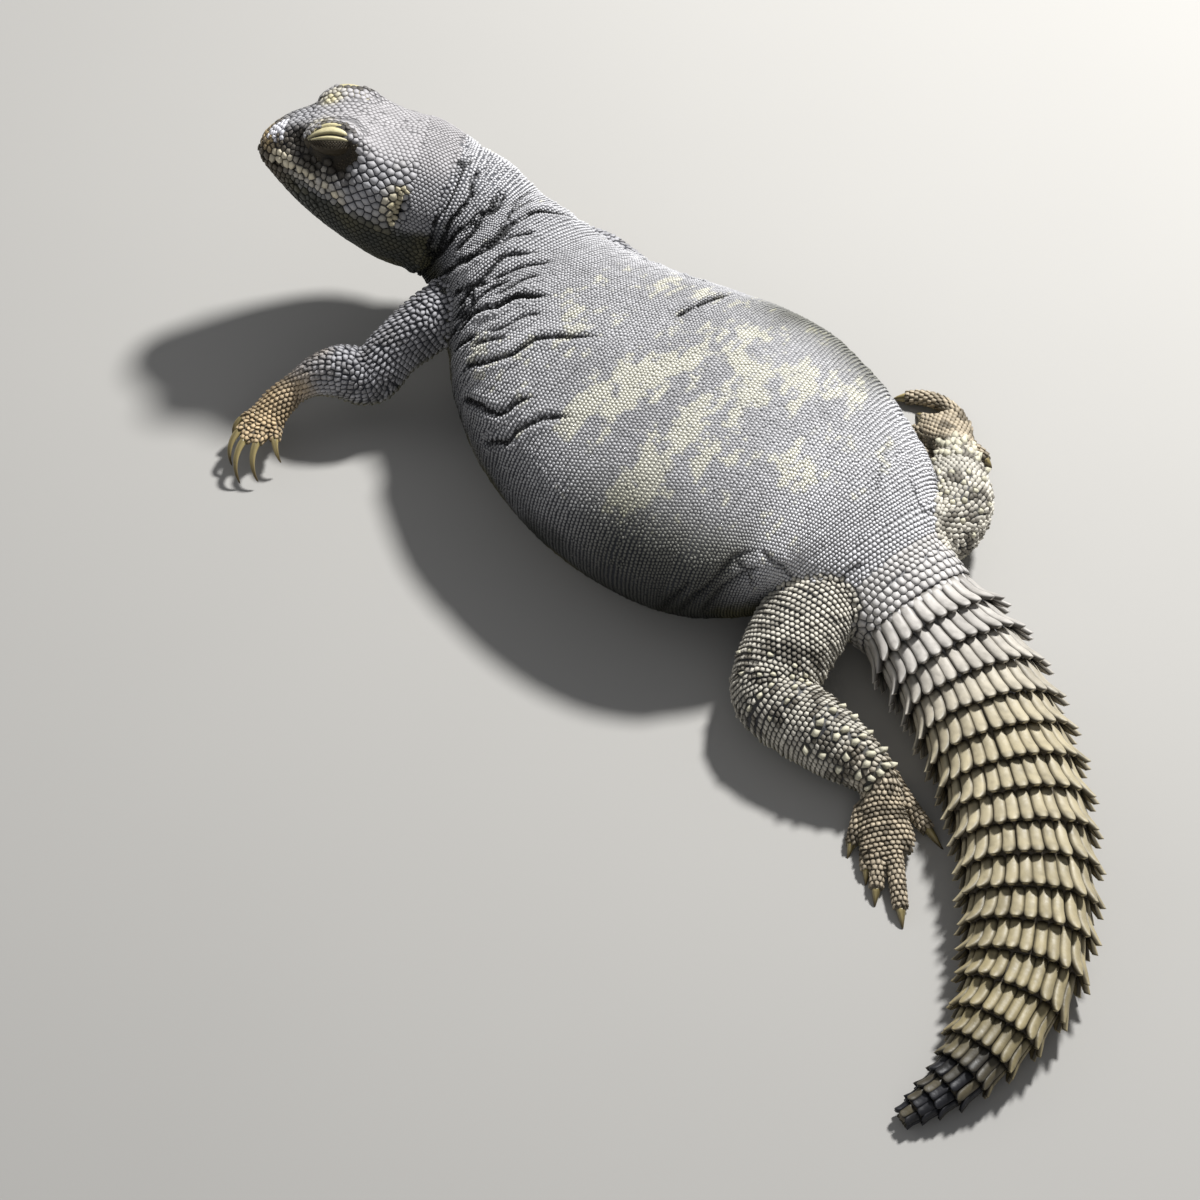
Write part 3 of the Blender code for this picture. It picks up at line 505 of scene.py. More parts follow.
def add_piece(mesh, finish, replaced=()):
    obj = bpy.data.objects.new(mesh.name, mesh)
    bpy.context.scene.collection.objects.link(obj)
    mesh.materials.clear()
    mesh.materials.append(finish)
    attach(obj, "root")
    if replaced:
        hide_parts(*replaced)
    return obj


def tube_mesh(grid, first_tip, last_tip):
    """Points and faces of a closed tube: a grid of rings and a point at each end."""
    rings, sides = grid.shape[:2]
    points = np.vstack([grid.reshape(-1, 3), [first_tip], [last_tip]])
    ring, side = np.meshgrid(np.arange(rings - 1), np.arange(sides), indexing="ij")
    after = (side + 1) % sides
    low, high = ring * sides, (ring + 1) * sides
    quads = np.stack([low + side, low + after, high + after, high + side], axis=-1).reshape(-1, 4)
    k = np.arange(sides)
    following = (k + 1) % sides
    end = (rings - 1) * sides
    first = columns(following, k, np.full(sides, rings * sides))
    last = columns(end + k, end + following, np.full(sides, rings * sides + 1))
    corner = points[quads[:, 0]]
    volume = np.einsum("ij,ij->i", corner, np.cross(points[quads[:, 1]], points[quads[:, 2]])).sum()
    if volume < 0:
        quads, first, last = quads[:, ::-1], first[:, ::-1], last[:, ::-1]
    return points, [quads, np.vstack([first, last])]


def course_tube(course, rings, sides, out):
    turn = full_turn(sides)
    stations = np.linspace(0, course.length, rings)
    grid = np.stack([course.surface(np.full(sides, at), turn, out)[0] for at in stations])
    return tube_mesh(grid, grid[0].mean(0), grid[-1].mean(0))


def arrays_of(mesh):
    """Points in millimetres and normals of a mesh."""
    points = np.empty(len(mesh.vertices) * 3, np.float32)
    mesh.vertices.foreach_get("co", points)
    normals = np.empty(len(mesh.vertices) * 3, np.float32)
    mesh.vertices.foreach_get("normal", normals)
    return points.reshape(-1, 3).astype(float) / MM, normals.reshape(-1, 3).astype(float)


# Skin


# Creases of the skin: depth and half width, then distances along the trunk and angles round it
CREASES = (
    (2.4, 1.5, ((29, 15), (39, 53), (37, 71), (37, 87), (38, 105), (43, 123), (47, 137))),
    (1.5, 1.3, ((14, 78), (18, 59), (22, 45), (26, 20))),
    (2.2, 1.5, ((18, 40), (15, 30), (16, 6), (15, -31))),
    (1.8, 1.4, ((26, -12), (30, 9), (34, 31), (36, 49))),
    (1.6, 1.3, ((44, 12), (47, 29), (50, 41), (54, 54))),
    (1.6, 1.2, ((53, 10), (51, 28), (49, 47), (48, 72), (53, 93))),
    (2.3, 1.5, ((66, 6), (65, 23), (64, 38), (70, 56), (74, 70), (81, 81), (86, 86))),
    (1.4, 1.2, ((82, 12), (85, 27), (89, 40), (96, 53), (100, 67), (106, 78), (118, 88))),
    (1.5, 1.3, ((90, 6), (95, 18), (106, 28), (111, 38), (113, 46), (118, 55))),
    (1.3, 1.2, ((108, 10), (114, 23), (118, 28), (120, 38), (124, 47), (130, 54), (134, 59))),
    (1.3, 1.2, ((133, 106), (136, 117), (137, 125), (138, 140))),
    (1.8, 1.3, ((7, 95), (4, 78), (2, 59), (2, 44), (2, 28), (3, 0), (6, -30))),
    (1.9, 1.4, ((10, 96), (9, 81), (8, 65), (9, 45), (7, 20), (10, -15), (14, -50))),
    (1.9, 1.4, ((15, 93), (18, 74), (17, 51), (16, 26))),
    (1.8, 1.4, ((23, 97), (33, 80), (37, 58), (37, 41), (30, 12), (26, -12))),
    (1.5, 1.3, ((72, 4), (74, 24), (78, 40))),
    (1.3, 1.1, ((58, 12), (58, 30), (57, 50), (60, 70))),
    (1.5, 1.4, ((198, -14), (206, 14), (214, 32), (224, 46))),
    (1.3, 1.3, ((208, -10), (214, 10), (221, 24), (230, 36))),
    (1.3, 1.3, ((188, -20), (196, 0), (202, 20))),
    (1.2, 1.1, ((87, 56), (84, 49), (82, 40), (81, 31))),
    (1.8, 1.3, ((50, 38), (54, 37), (59, 31), (61, 18), (57, -10))),
    (1.5, 1.2, ((44, 27), (51, 30), (55, 22), (54, 3))),
    (1.0, 1.0, ((69, 83), (64, 73), (64, 64), (63, 52))),
    (1.1, 1.0, ((63, 93), (56, 81), (54, 66), (53, 51))),
    (0.9, 1.0, ((91, 77), (85, 67), (82, 53), (78, 42))),
    (1.4, 1.2, ((14, 88), (16, 76), (18, 63), (17, 48))),
    (1.9, 1.5, ((0, 8), (3, -7), (13, -12), (20, -26))),
    (1.2, 1.1, ((216, 34), (223, 28), (228, 23), (228, 15))),
    (1.3, 1.1, ((222, 45), (233, 39), (245, 31), (251, 25))),
    (1.2, 1.1, ((263, 40), (263, 45), (261, 59), (263, 74))),
    (1.0, 1.1, ((242, 120), (249, 122), (256, 125), (261, 150))),
    (1.0, 1.1, ((234, 121), (239, 105), (244, 97))),
    (1.1, 1.0, ((46, 96), (42, 80), (42, 66))),
    (0.9, 0.9, ((24, 118), (22, 100), (23, 84))),
    (0.9, 0.9, ((31, 112), (30, 96), (31, 80))),
    # Under the throat and neck
    (2.0, 1.6, ((4, -30), (3, -60), (3, -90), (3, -120), (4, -150))),
    (2.4, 1.8, ((16, -25), (15, -60), (15, -90), (15, -120), (16, -155))),
    (1.5, 1.5, ((30, -40), (31, -90), (30, -140))),
)
# The far side has the ones that stay off the ridge of the back, lower down and a little softer
FAR_CREASES = tuple(
    (0.8 * depth, width, tuple((at + 2.5, 200 - 0.68 * angle) for at, angle in places))
    for depth, width, places in CREASES[1:10] + CREASES[11:26]
)
# Millimetres that one radian round the trunk counts for, where creases and scales are measured
CREASE_REACH = 30
CREASE_STEP = 0.6
SHADE_DEPTH = 1.3


def crease_samples():
    """Points along every crease with local depth, half width and shade, fading at both ends."""
    found = []
    for depth, width, places in CREASES + FAR_CREASES:
        table = np.array(places, float)
        table[:, 1] = np.radians(table[:, 1]) * CREASE_REACH
        distance = distances_along(table)
        at = np.linspace(0, distance[-1], max(8, int(distance[-1] / CREASE_STEP)))
        row = smooth_rows(table, distance, at)
        flat = columns(row, np.zeros(len(at)))
        row = row + 3.0 * (columns(*(cloud(flat, 9.0, k * 3.3) for k in range(2))) - 0.5)
        points, _ = BODY_COURSE.surface(row[:, 0], row[:, 1] / CREASE_REACH, -0.8)
        share = at / distance[-1]
        fade = ramp(share, 0.0, 0.15) * ramp(1 - share, 0.0, 0.22)
        soft = 1 - 0.5 * ramp(row[:, 0], 150, 190)
        neck = 1 - ramp(row[:, 0], 30, 55)
        deep = 1.6 * depth * fade * soft * (1 - 0.35 * neck)
        wide = width * (0.5 + 0.5 * fade) * (1.15 - 0.25 * neck)
        shade = np.clip(depth * fade * soft / SHADE_DEPTH, 0, 1)
        found.append(columns(points, deep, wide, shade))
    return np.vstack(found)


@functools.lru_cache
def crease_tree():
    samples = crease_samples()
    return samples, tree_of(samples[:, :3])


def crease_near(points):
    """Gap to the nearest crease, and its depth, half width and shade there, for each point."""
    samples, tree = crease_tree()
    index, gap = nearest_of(tree, points)
    return gap, *samples[index, 3:].T


def crease_shade(points):
    """1 at the bottom of the deep creases, 0 away from them."""
    gap, _, width, shade = crease_near(points)
    return shade * np.exp(-((gap / width / 0.8) ** 3))


def fold_depths(points):
    """How far the skin sinks at each point, for creases, small wrinkles and gentle rolls."""
    gap, depth, width, _ = crease_near(points)
    groove = depth * np.exp(-((gap / width) ** 2))
    lips = 0.34 * depth * bump(gap, 2.5 * width, 1.5 * width)
    at, angle = BODY_COURSE.place_of(points)
    low = np.cos(angle - math.pi / 2)
    front = ramp(at, 6, 14) * (1 - ramp(at, 95, 150))
    hips = ramp(at, 175, 205) * (1 - ramp(at, 235, 262))
    flank = 0.25 + 0.75 * (1 - np.abs(low))
    warp = 7.0 * cloud(points, 26.0) + 2.5 * cloud(points, 9.0, 5.0) + 9.0 * (1 - np.abs(low))
    wave = np.sin((at + warp) * 2 * math.pi / 7.4)
    neck = 0.22 * (1 - ramp(at, 45, 70))
    wrinkles = (0.5 * front + 0.4 * hips + neck) * flank * (0.5 + 0.5 * wave) ** 1.5
    fine = 0.10 * ramp(at, 14, 40) * (1 - ramp(at, 245, 262))
    fine = fine * np.sin((at + 0.6 * warp) * 2 * math.pi / 4.1)
    return groove - lips + wrinkles + fine


def lid_turn(hand):
    lean, tilt = math.radians(LID_LEAN * hand), math.radians(EYE_TILT)
    cos, sin = math.cos(lean), math.sin(lean)
    about_x = np.array([[1, 0, 0], [0, cos, -sin], [0, sin, cos]])
    cos, sin = math.cos(tilt), math.sin(tilt)
    return about_x @ np.array([[cos, 0, sin], [0, 1, 0], [-sin, 0, cos]])


def from_lid(points, hand):
    """From the lids' own frame, x' ahead, y' outwards and z' up, to the model's."""
    local = np.asarray(points) * (1, hand, 1)
    return from_head(np.array(LID_CENTRE) * (1, hand, 1) + local @ lid_turn(hand).T)


def to_lid(points, hand):
    local = (to_head(points) - np.array(LID_CENTRE) * (1, hand, 1)) @ lid_turn(hand)
    return local * (1, hand, 1)


def lid_outwards(local, hand):
    """The way outwards from places on the lids, in the model's frame."""
    return from_lid(unit(local / LID_RADII**2), hand) - from_lid(np.zeros((1, 3)), hand)


# Hollows of the head, and swellings where the amount is below 0: amount, centre and half sizes
HEAD_LUMPS = (
    (2.6, (66.0, 15.0, 17.5), (5.5, 6.0, 4.4)),
    (2.0, (58.5, 20.5, 12.4), (7.0, 6.0, 3.2)),
    (1.4, (47.5, 25.0, 14.0), (7.0, 6.0, 3.2)),
    (-1.1, (62.0, 19.0, 7.0), (12.0, 8.0, 2.0)),
    (-1.0, (49.0, 11.0, 31.0), (10.0, 5.5, 5.0)),
    (-0.9, (31.0, 30.0, 17.0), (11.0, 8.0, 6.0)),
    (1.0, (38.0, 24.0, 27.0), (4.0, 6.0, 4.0)),
    (0.8, (55.0, 0.0, 30.0), (16.0, 4.0, 8.0)),
)


def head_relief(points, normals):
    """Moves the skin's points of the head for the orbits, mouth, nostrils, ears and temples."""
    place = to_head(points)
    turn = normals @ HEAD_TURN.T
    near = (place[:, 0] > -6) & (np.abs(place[:, 1]) < 40)
    side = np.where(place[:, 1] >= 0, 1.0, -1.0)
    x, y, z = place[:, 0], np.abs(place[:, 1]), place[:, 2]
    long, deep, tall = ORBIT_RADII
    across = 1 - ((x - ORBIT_CENTRE[0]) / long) ** 2 - ((z - ORBIT_CENTRE[2]) / tall) ** 2
    hollow = ORBIT_CENTRE[1] - deep * np.sqrt(np.maximum(across, 0))
    dip = near & (across > 0) & (y > hollow) & (turn[:, 1] * side > -0.2)
    y = np.where(dip, hollow, y)
    half = columns(x, y, z)
    _, gap = nearest_of(tree_of(mouth_line(80)), half)
    sunk = 1.5 * np.exp(-((gap / 1.1) ** 2)) - 0.35 * bump(gap, 2.6, 1.2)
    sunk += 1.8 * np.exp(-((np.linalg.norm(half - NOSTRIL_CENTRE, axis=1) / 1.5) ** 2))
    ear = ((x - EAR_CENTRE[0]) / 2.4) ** 2 + ((z - EAR_CENTRE[2] - 1.5) / 6.0) ** 2
    sunk += np.where(y > 20, 4.5 * np.exp(-(ear**1.5)), 0)
    fold = np.exp(-(((x - EAR_CENTRE[0] - 5.5) / 3.0) ** 2) - ((z - 9) / 9) ** 2)
    sunk += np.where(y > 20, -1.3 * fold, 0)
    for amount, centre, reach in HEAD_LUMPS:
        sunk += amount * np.exp(-(((half - centre) / reach) ** 2).sum(1))
    sunk = np.where(near, sunk, 0)
    moved = from_head(columns(x, y * side, z) - turn * sunk[:, None])
    return np.where(near[:, None], moved, points)


RING_SIDES = 72
TRUNK_STEP = 3.0
WHORL_STEP = 1.2


def skin_tubes(depth, tail_depth, toe_depth):
    """Closed tubes of the head, body, legs and toes, each a depth inside the solids."""
    turn = full_turn(RING_SIDES)
    grid = []
    for where in np.concatenate([[-8.0, -4.0], np.linspace(0, HEAD_SECTIONS[-1, 0], 40)]):
        start = np.full(RING_SIDES, max(where, 0.0))
        ring = head_surface(start, turn, -depth - max(0.0, -where) * 0.3)
        ring[:, 0] += min(where, 0.0)
        grid.append(from_head(ring))
    tip = from_head([np.array(SNOUT_TIP) - (depth, 0, 0)])[0]
    yield tube_mesh(np.array(grid), grid[0].mean(0), tip)
    starts, lengths = whorl_starts()
    trunk = np.arange(0.0, starts[0], TRUNK_STEP)
    outs = np.full(len(trunk), -depth)
    for start, length in zip(starts, lengths):
        trunk = np.append(trunk, [start + 0.05 * length, start + 0.9 * length])
        step = WHORL_STEP * min(1.0, length / 14)
        outs = np.append(outs, [-tail_depth - step, -tail_depth])
    grid = np.stack([
        BODY_COURSE.surface(np.full(RING_SIDES, at), turn, out)[0] for at, out in zip(trunk, outs)
    ])
    last = BODY_COURSE.rows(BODY_COURSE.length - 1.0)[0, :3]
    yield tube_mesh(grid, grid[0].mean(0), last)
    for course in LEG_COURSES.values():
        yield course_tube(course, 50, 40, -depth)
    for course, _ in TOES.values():
        yield course_tube(course, 16, 20, -toe_depth)


def apply_modifier(obj, kind, **settings):
    bpy.ops.object.select_all(action="DESELECT")
    obj.select_set(True)
    bpy.context.view_layer.objects.active = obj
    modifier = obj.modifiers.new(kind.lower(), kind)
    for name, value in settings.items():
        setattr(modifier, name, value)
    bpy.ops.object.modifier_apply(modifier=modifier.name)


def trunk_share(points):
    """1 on the neck and trunk, falling to 0 on the tail and on the legs away from their roots."""
    at, angle = BODY_COURSE.place_of(points)
    away = np.linalg.norm(points - BODY_COURSE.surface(at, angle)[0], axis=1)
    return (1 - ramp(at, TRUNK_END - 4, TRUNK_END + 6)) * (1 - ramp(away, 3.0, 9.0))


def flesh_nodes():
    names = ["head", "neck", "torso"] + [f"tail_{number}" for number in range(1, 6)]
    for leg in LEGS:
        names += [f"{leg}_{part}" for part in LEG_NODES[leg.split("_")[0]]]
    return names


def build_skin(props, colours):
    points, quads, tris, count = [], [], [], 0
    tubes = skin_tubes(props.depth / MM, props.tail_depth / MM, props.toe_depth / MM)
    for tube_points, (tube_quads, tube_tris) in tubes:
        points.append(tube_points)
        quads.append(tube_quads + count)
        tris.append(tube_tris + count)
        count += len(tube_points)
    mesh = new_mesh("skin", np.vstack(points), [np.vstack(quads), np.vstack(tris)])
    obj = add_piece(mesh, finish_material("skin"), flesh_nodes())
    apply_modifier(obj, "REMESH", mode="VOXEL", voxel_size=props.voxel, adaptivity=0.0)
    apply_modifier(obj, "SMOOTH", factor=0.5, iterations=3)
    mesh = obj.data
    points, normals = arrays_of(mesh)
    on_head = ramp(to_head(points)[:, 0], -4, 6)
    depth = fold_depths(points) * (1 - on_head) * trunk_share(points)
    points = points - normals * depth[:, None] * props.fold_strength
    points = head_relief(points, normals)
    points[:, 2] = np.maximum(points[:, 2], props.clearance / MM)
    mesh.vertices.foreach_set("co", (points * MM).astype(np.float32).ravel())
    mesh.update()
    mesh.shade_smooth()


# Scales


COAT_GROUPS = ("body", "belly", "rump", "head", "lids", "forelegs", "hindlegs")
# What is known of each scale, and how many numbers each of these has
SITE = {
    "point": 3, "out": 3, "rear": 3, "light": 3, "dark": 3, "chart": 2,
    "size": 1, "height": 1, "lean": 1, "flat": 1, "group": 1, "reach": 1, "split": 1,
}
# The map's units for a millimetre, and half the width of one scale's patch on it
MAP_SCALE = 1 / 430
PATCH = 0.0015
# Groups of plates with clear corners, and how many each plate has
CORNERS = {"rump": 6, "head": 7, "forelegs": 6, "hindlegs": 6}
BEAD_SIDES = 6
ROW_GAP = 0.3
NEIGHBOURS = 9
# How close scales may lie, in shares of their sizes' sum: folded skin packs its rows closer
CLOSE = 0.34
FOLDED_CLOSE = 0.25
SPREAD = 1.44
# Height over the solids at which the places are laid out, before they move to the skin
LAID_OUT = -0.6
BELLY_EDGE = -0.5
RING_COUNT = 160
DRAWN_HEAD_PITCH = 3.2


class Sites:
    """Places of scales, one row of numbers each, gathered from all the fields of the coat."""

    def __init__(self):
        self.parts = {name: [] for name in SITE}

    def add(self, point, *rest, group, reach=3.2, split=None):
        """Adds scales by point, out, rear, light, dark, chart, size, height, lean and flat."""
        if split is None:
            split = ROW_GAP * (1 - np.asarray(rest[-1]))
        values = (point, *rest, COAT_GROUPS.index(group), reach, split)
        count = len(point)
        for (name, width), value in zip(SITE.items(), values):
            value = np.asarray(value, float)
            if value.shape == (count,) and width == 1:
                value = value[:, None]
            self.parts[name].append(np.broadcast_to(value, (count, width)))

    def joined(self):
        return {name: np.vstack(parts) for name, parts in self.parts.items()}


def chart_of(at, arc, left, middle):
    return columns(left + at * MAP_SCALE, middle + arc * MAP_SCALE)


def staggered(course, first, last, row_gap, pitch, draw=None, jitter=0.0):
    """Staggered rows of places round a course: distances, angles and distances from the top."""
    rows = []
    for number, at in enumerate(np.arange(first, last, row_gap)):
        angle, arc = course.around(at, RING_COUNT)
        steps = np.arange(math.floor(arc[0] / pitch), math.ceil(arc[-1] / pitch) + 1)
        places = (steps + 0.5 * (number % 2)) * pitch
        places = places[(places > arc[0]) & (places < arc[-1] - 0.3 * pitch)]
        rows.append(np.stack([np.full(len(places), at), np.interp(places, arc, angle), places]))
    at, angle, arc = np.concatenate(rows, axis=1)
    if jitter:
        at = at + draw.uniform(-jitter, jitter, len(at)) * row_gap
        angle = angle + draw.uniform(-jitter, jitter, len(at)) * pitch / 30
    return np.clip(at, 0, course.length), angle, arc


# Pale blotches of the back: distance along the trunk, angle round it, their half sizes in
# millimetres along and round, and strength
BLOTCHES = (
    (102, 84, 9, 6, 0.75), (99, 60, 6, 9, 0.6), (84, 40, 6, 10, 0.45), (88, 116, 7, 14, 0.6),
    (109, 120, 9, 12, 0.65), (128, 132, 8, 12, 0.5), (82, 88, 5, 7, 0.3),
    (134, 60, 5, 8, 0.95), (139, 69, 7, 9, 1.0), (144, 79, 8, 9, 1.0), (149, 88, 9, 9, 1.0),
    (157, 100, 9, 11, 1.0), (166, 111, 9, 12, 0.95), (177, 122, 7, 10, 0.7),
    (171, 46, 8, 8, 0.7), (172, 58, 7, 9, 0.8), (174, 76, 8, 10, 0.95), (183, 72, 8, 9, 0.8),
    (179, 54, 7, 8, 0.6), (184, 95, 9, 13, 0.85), (196, 110, 9, 12, 0.8), (207, 115, 7, 10, 0.6),
    (215, 85, 7, 12, 0.5), (228, 97, 6, 12, 0.55), (237, 106, 5, 10, 0.45), (226, 60, 5, 10, 0.3),
    (204, 130, 8, 10, 0.4), (150, 140, 8, 12, 0.35), (118, 150, 8, 10, 0.3), (194, 74, 6, 9, 0.45),
)
BLOTCH_REACH = 55


def blotch_share(at, angle, points, draw):
    total = np.zeros(len(at))
    for where, degrees, along, across, strength in BLOTCHES:
        aside = (angle - math.radians(degrees)) * BLOTCH_REACH / across
        away = ((at - where) / along) ** 2 + aside**2
        total = np.maximum(total, strength * np.exp(-away * 0.55))
    streaks = columns(at * 2.6, angle * BLOTCH_REACH, np.zeros(len(at)))
    rough = 0.35 * cloud(points, 9.0) + 0.4 * cloud(streaks, 7.0, 9.0)
    rough = rough + 0.25 * cloud(points, 2.2, 5.0)
    grain = draw.uniform(-0.16, 0.16, len(at))
    # Painted sheen: the pale blotches spread further towards the top of the back, as the light
    # washes it out.
    high = np.sin(angle) * ramp(at, 60, 110) * (1 - ramp(at, 215, 250))
    return ramp(total + 0.16 * high + (rough - 0.5) * 2.3 + grain, 0.62, 0.86)


def body_colours(colours, at, angle, points, draw):
    """Light and dark colours of the trunk's scales: grey, blotched on the back, olive below, with
    painted shade low on the flanks, in the groin and the armpit, and painted light on the top.
    """
    count = len(at)
    rise = np.sin(angle)
    tone = 0.82 + 0.36 * cloud(points, 30.0) + draw.uniform(-0.10, 0.10, count)
    light = colours.back * tone[:, None]
    light = mix(light, colours.blotch, blotch_share(at, angle, points, draw) * 0.92)
    belly = ramp(0.5 - 0.5 * rise + 0.16 * (cloud(points, 14.0, 2.0) - 0.5), 0.44, 0.62)
    under = mix(colours.belly_dark, colours.belly, ramp(cloud(points, 20.0, 7.0), 0.42, 0.7))
    light = mix(light, under * (0.85 + 0.3 * draw.random(count))[:, None], belly)
    # Painted light: the seams between scales lighter on the top of the back, as the light washes
    # them out.
    dark = mix(colours.seam, light * 0.5, ramp(rise, 0.35, 0.8) * ramp(at, 20, 70) * 0.8)
    # Painted shade: the lower flanks darker, as they face away from the light.
    light = light * (1 - 0.72 * ramp(0.6 - rise, 0.0, 0.6))[:, None]
    # Painted light: the upper side of the neck and the rump lighter, as lit from above.
    ends = 0.24 * ramp(at, 190, 235) + 0.16 * (1 - ramp(at, 25, 75))
    light = light * (1 + ends * ramp(rise, 0.1, 0.5))[:, None]
    # Painted shade in front of the thighs and at the roots of the forelegs, partly the darker olive
    # skin there.
    groin_shade = ramp(at, 135, 175) * (1 - ramp(at, 212, 228)) * ramp(0.92 - rise, 0.0, 0.35)
    armpit_shade = bump(at, 24, 14) * ramp(0.25 - rise, 0.0, 0.45)
    light = mix(light, light * (0.42, 0.42, 0.36), np.maximum(groin_shade, armpit_shade))
    return light, mix(dark, colours.belly_dark * 0.5, belly)


def body_field(colours, draw, upper, first, last, row_gap, size, jitter=0.0):
    """What is known of one field of the trunk's scales, on the back and flanks or the belly."""
    at, angle, arc = staggered(BODY_COURSE, first, last, row_gap, size, draw, jitter)
    keep = (np.sin(angle) > BELLY_EDGE) == upper
    at, angle, arc = at[keep], angle[keep], arc[keep]
    points, out = BODY_COURSE.surface(at, angle, LAID_OUT)
    light, dark = body_colours(colours, at, angle, points, draw)
    return points, out, BODY_COURSE.tangents(at), light, dark, chart_of(at, arc, 0.02, 0.5), size


def body_sites(sites, props, colours, draw):
    pitch, height = props.pitch / MM, props.height / MM
    tail_start = whorl_starts()[0][0]
    fields = (
        (1.0, 10.0, pitch * 1.05, 1.0),
        (10.0, 45.0, pitch * 0.9, 1.0),
        (45.0, TRUNK_END - 26, pitch, 1.0),
        (TRUNK_END - 26, TRUNK_END - 14, pitch * 1.3, 1.1),
        (TRUNK_END - 14, TRUNK_END - 5, pitch * 1.8, 1.2),
        (TRUNK_END - 5, tail_start + 1.5, pitch * 2.3, 1.3),
    )
    for first, last, size, tall in fields:
        found = body_field(colours, draw, True, first, last, size * 0.92, size, 0.1)
        points, out, rear, light, dark, chart, _ = found
        rise = height * tall * draw.uniform(0.82, 1.18, len(points))
        # Painted shade: scales deep in the creases are darkened.
        painted_crease_shade = 1 - 0.93 * crease_shade(points)[:, None]
        rump = size > 1.5 * pitch
        if rump:
            light = mix(light, colours.scute_root, 0.7)
        lean, flat, group = (0.6, 0.75, "rump") if rump else (0.4, 0.4, "body")
        sites.add(
            points, out, rear, light * painted_crease_shade, dark * painted_crease_shade, chart, size, rise, lean, flat, group=group
        )
    size = props.belly_pitch / MM
    found = body_field(colours, draw, False, 1.0, tail_start, size * 0.9, size)
    sites.add(*found, height * 0.7, 0.2, 0.6, group="belly")


def spot(x, z, centre, half):
    """1 at one place of a plane, falling off all round it."""
    return np.exp(-(((x - centre[0]) / half[0]) ** 2) - ((z - centre[1]) / half[1]) ** 2)


def head_colours(colours, place, draw):
    """Light and dark colours of the head's scales from places in its own frame."""
    x, y, z = place[:, 0], np.abs(place[:, 1]), place[:, 2]
    tone = 0.84 + 0.32 * cloud(place, 14.0, 4.0) + draw.uniform(-0.14, 0.14, len(place))
    light = colours.head * tone[:, None]
    light = mix(light, colours.head * (1.2, 1.17, 1.15), ramp(z, 20, 30) * 0.9)
    # Painted shade under the head: the lower jaw and throat darkened to near black, over their
    # olive patches.
    jaw_shade = ramp(-z, -3.6, 2.0)
    patch = ramp(cloud(place, 12.0, 1.0), 0.45, 0.8) * 0.6
    light = mix(light, mix(colours.belly_dark, colours.throat, patch) * 0.6, jaw_shade * 0.96)
    muzzle = ramp(x, 60, 72) * (1 - ramp(z, 12, 19))
    light = mix(light, colours.lip * (0.13, 0.115, 0.10), muzzle * 0.9)
    ridge = bump(z - 6.3 + 0.09 * np.maximum(x - 58, 0), 0, 3.5, 4)
    ridge = ridge * ramp(x, 46, 50) * (1 - ramp(x, 74, 78))
    corner = spot(x, z, (43, 4.8), (4.0, 2.4))
    worn = ramp(cloud(place, 3.4, 3.0), 0.2, 0.4)
    lips = np.maximum(ridge, corner) * ramp(y, 5, 10) * (0.25 + 0.75 * worn)
    light = mix(light, colours.lip, lips)
    tip = spot(x, z, (80, 7.0), (3.5, 3.0))
    light = mix(light, colours.lip * (0.75, 0.62, 0.4), tip * 0.8)
    # Painted shade in the hollows before and below the eyes and in the ring round the lids' upper
    # edge.
    socket_shade = np.zeros(len(place))
    for _, centre, half in HEAD_LUMPS[:3]:
        away = ((columns(x, y, z) - centre) / np.array(half) / 1.55) ** 2
        socket_shade = np.maximum(socket_shade, np.exp(-(away.sum(1) ** 2)))
    point = from_head(place)
    for hand in (1, -1):
        local = to_lid(point, hand)
        shell = np.linalg.norm(local / LID_RADII, axis=1)
        rim = (local[:, 0] < 6) & (local[:, 1] > 0) & (shell < 1.4)
        socket_shade = np.maximum(socket_shade, rim * bump(lid_offset(local), 6.9, 1.3, 4) * 0.9)
    light = mix(light, colours.lid_dark * 0.7, socket_shade * 0.95)
    dark = mix(colours.seam, colours.lid_dark * 0.2, socket_shade)
    gold = spot(x, y, (58.5, 11.0), (3.6, 3.6)) * ramp(z, 20, 25)
    light = mix(light, colours.lid_light * 1.15, gold * 0.8)
    salt = np.exp(-((np.linalg.norm(place - (76.3, 4.8, 14.0), axis=1) / 5.2) ** 4))
    salt = ramp(salt + 0.45 * (cloud(place, 3.0) - 0.5), 0.35, 0.55)
    light = mix(light, colours.salt, salt)
    dark = mix(dark, colours.salt * 0.35, salt)
    ear = spot(x, z, (19.5, 10), (3.2, 9.0)) * ramp(y, 20, 26)
    light = mix(light, colours.ear, ear * ramp(cloud(place, 4.0, 6.0), 0.25, 0.55))
    return light, mix(dark, colours.belly_dark * 0.4, jaw_shade)


def add_head_sites(
    sites, colours, draw, place, size, height, lean, flat, reach=3.0, tint=None, split=0.0
):
    """Scales at places in the head's frame, on the side where each lies."""
    ahead, aside, above = place.T[0], place.T[1], place.T[2] - head_rows(place[:, 0])[1]
    out = unit(columns(np.maximum(ahead - 74, 0) * 2.0, aside, above)) @ HEAD_TURN
    light, dark = head_colours(colours, place, draw)
    dark = mix(dark, light * 0.5, ramp(place[:, 2], 21, 29) * 0.85)
    if tint is not None:
        light = mix(light, tint, 0.85)
    chart = columns(0.1 + ahead / 120, 0.5 + np.arctan2(aside, above) / 7.0)
    sites.add(
        from_head(place), out, -HEAD_TURN[0], light, dark, chart, size, height, lean, flat,
        group="head", reach=reach, split=split,
    )


# Rows of plates along the lips: height above the parting, where the first one starts in sizes,
# size, height and flatness
LIP_ROWS = (
    (2.1, 0.5, 3.8, 1.15, 0.6),
    (-1.7, 1.0, 3.0, 0.8, 0.6),
    (5.1, 0.5, 3.1, 1.0, 0.5),
    (-4.2, 0.5, 2.6, 0.7, 0.5),
)
NOSTRIL_PLATES, NOSTRIL_REACH = 7, 2.5
EAR_CONES = 8


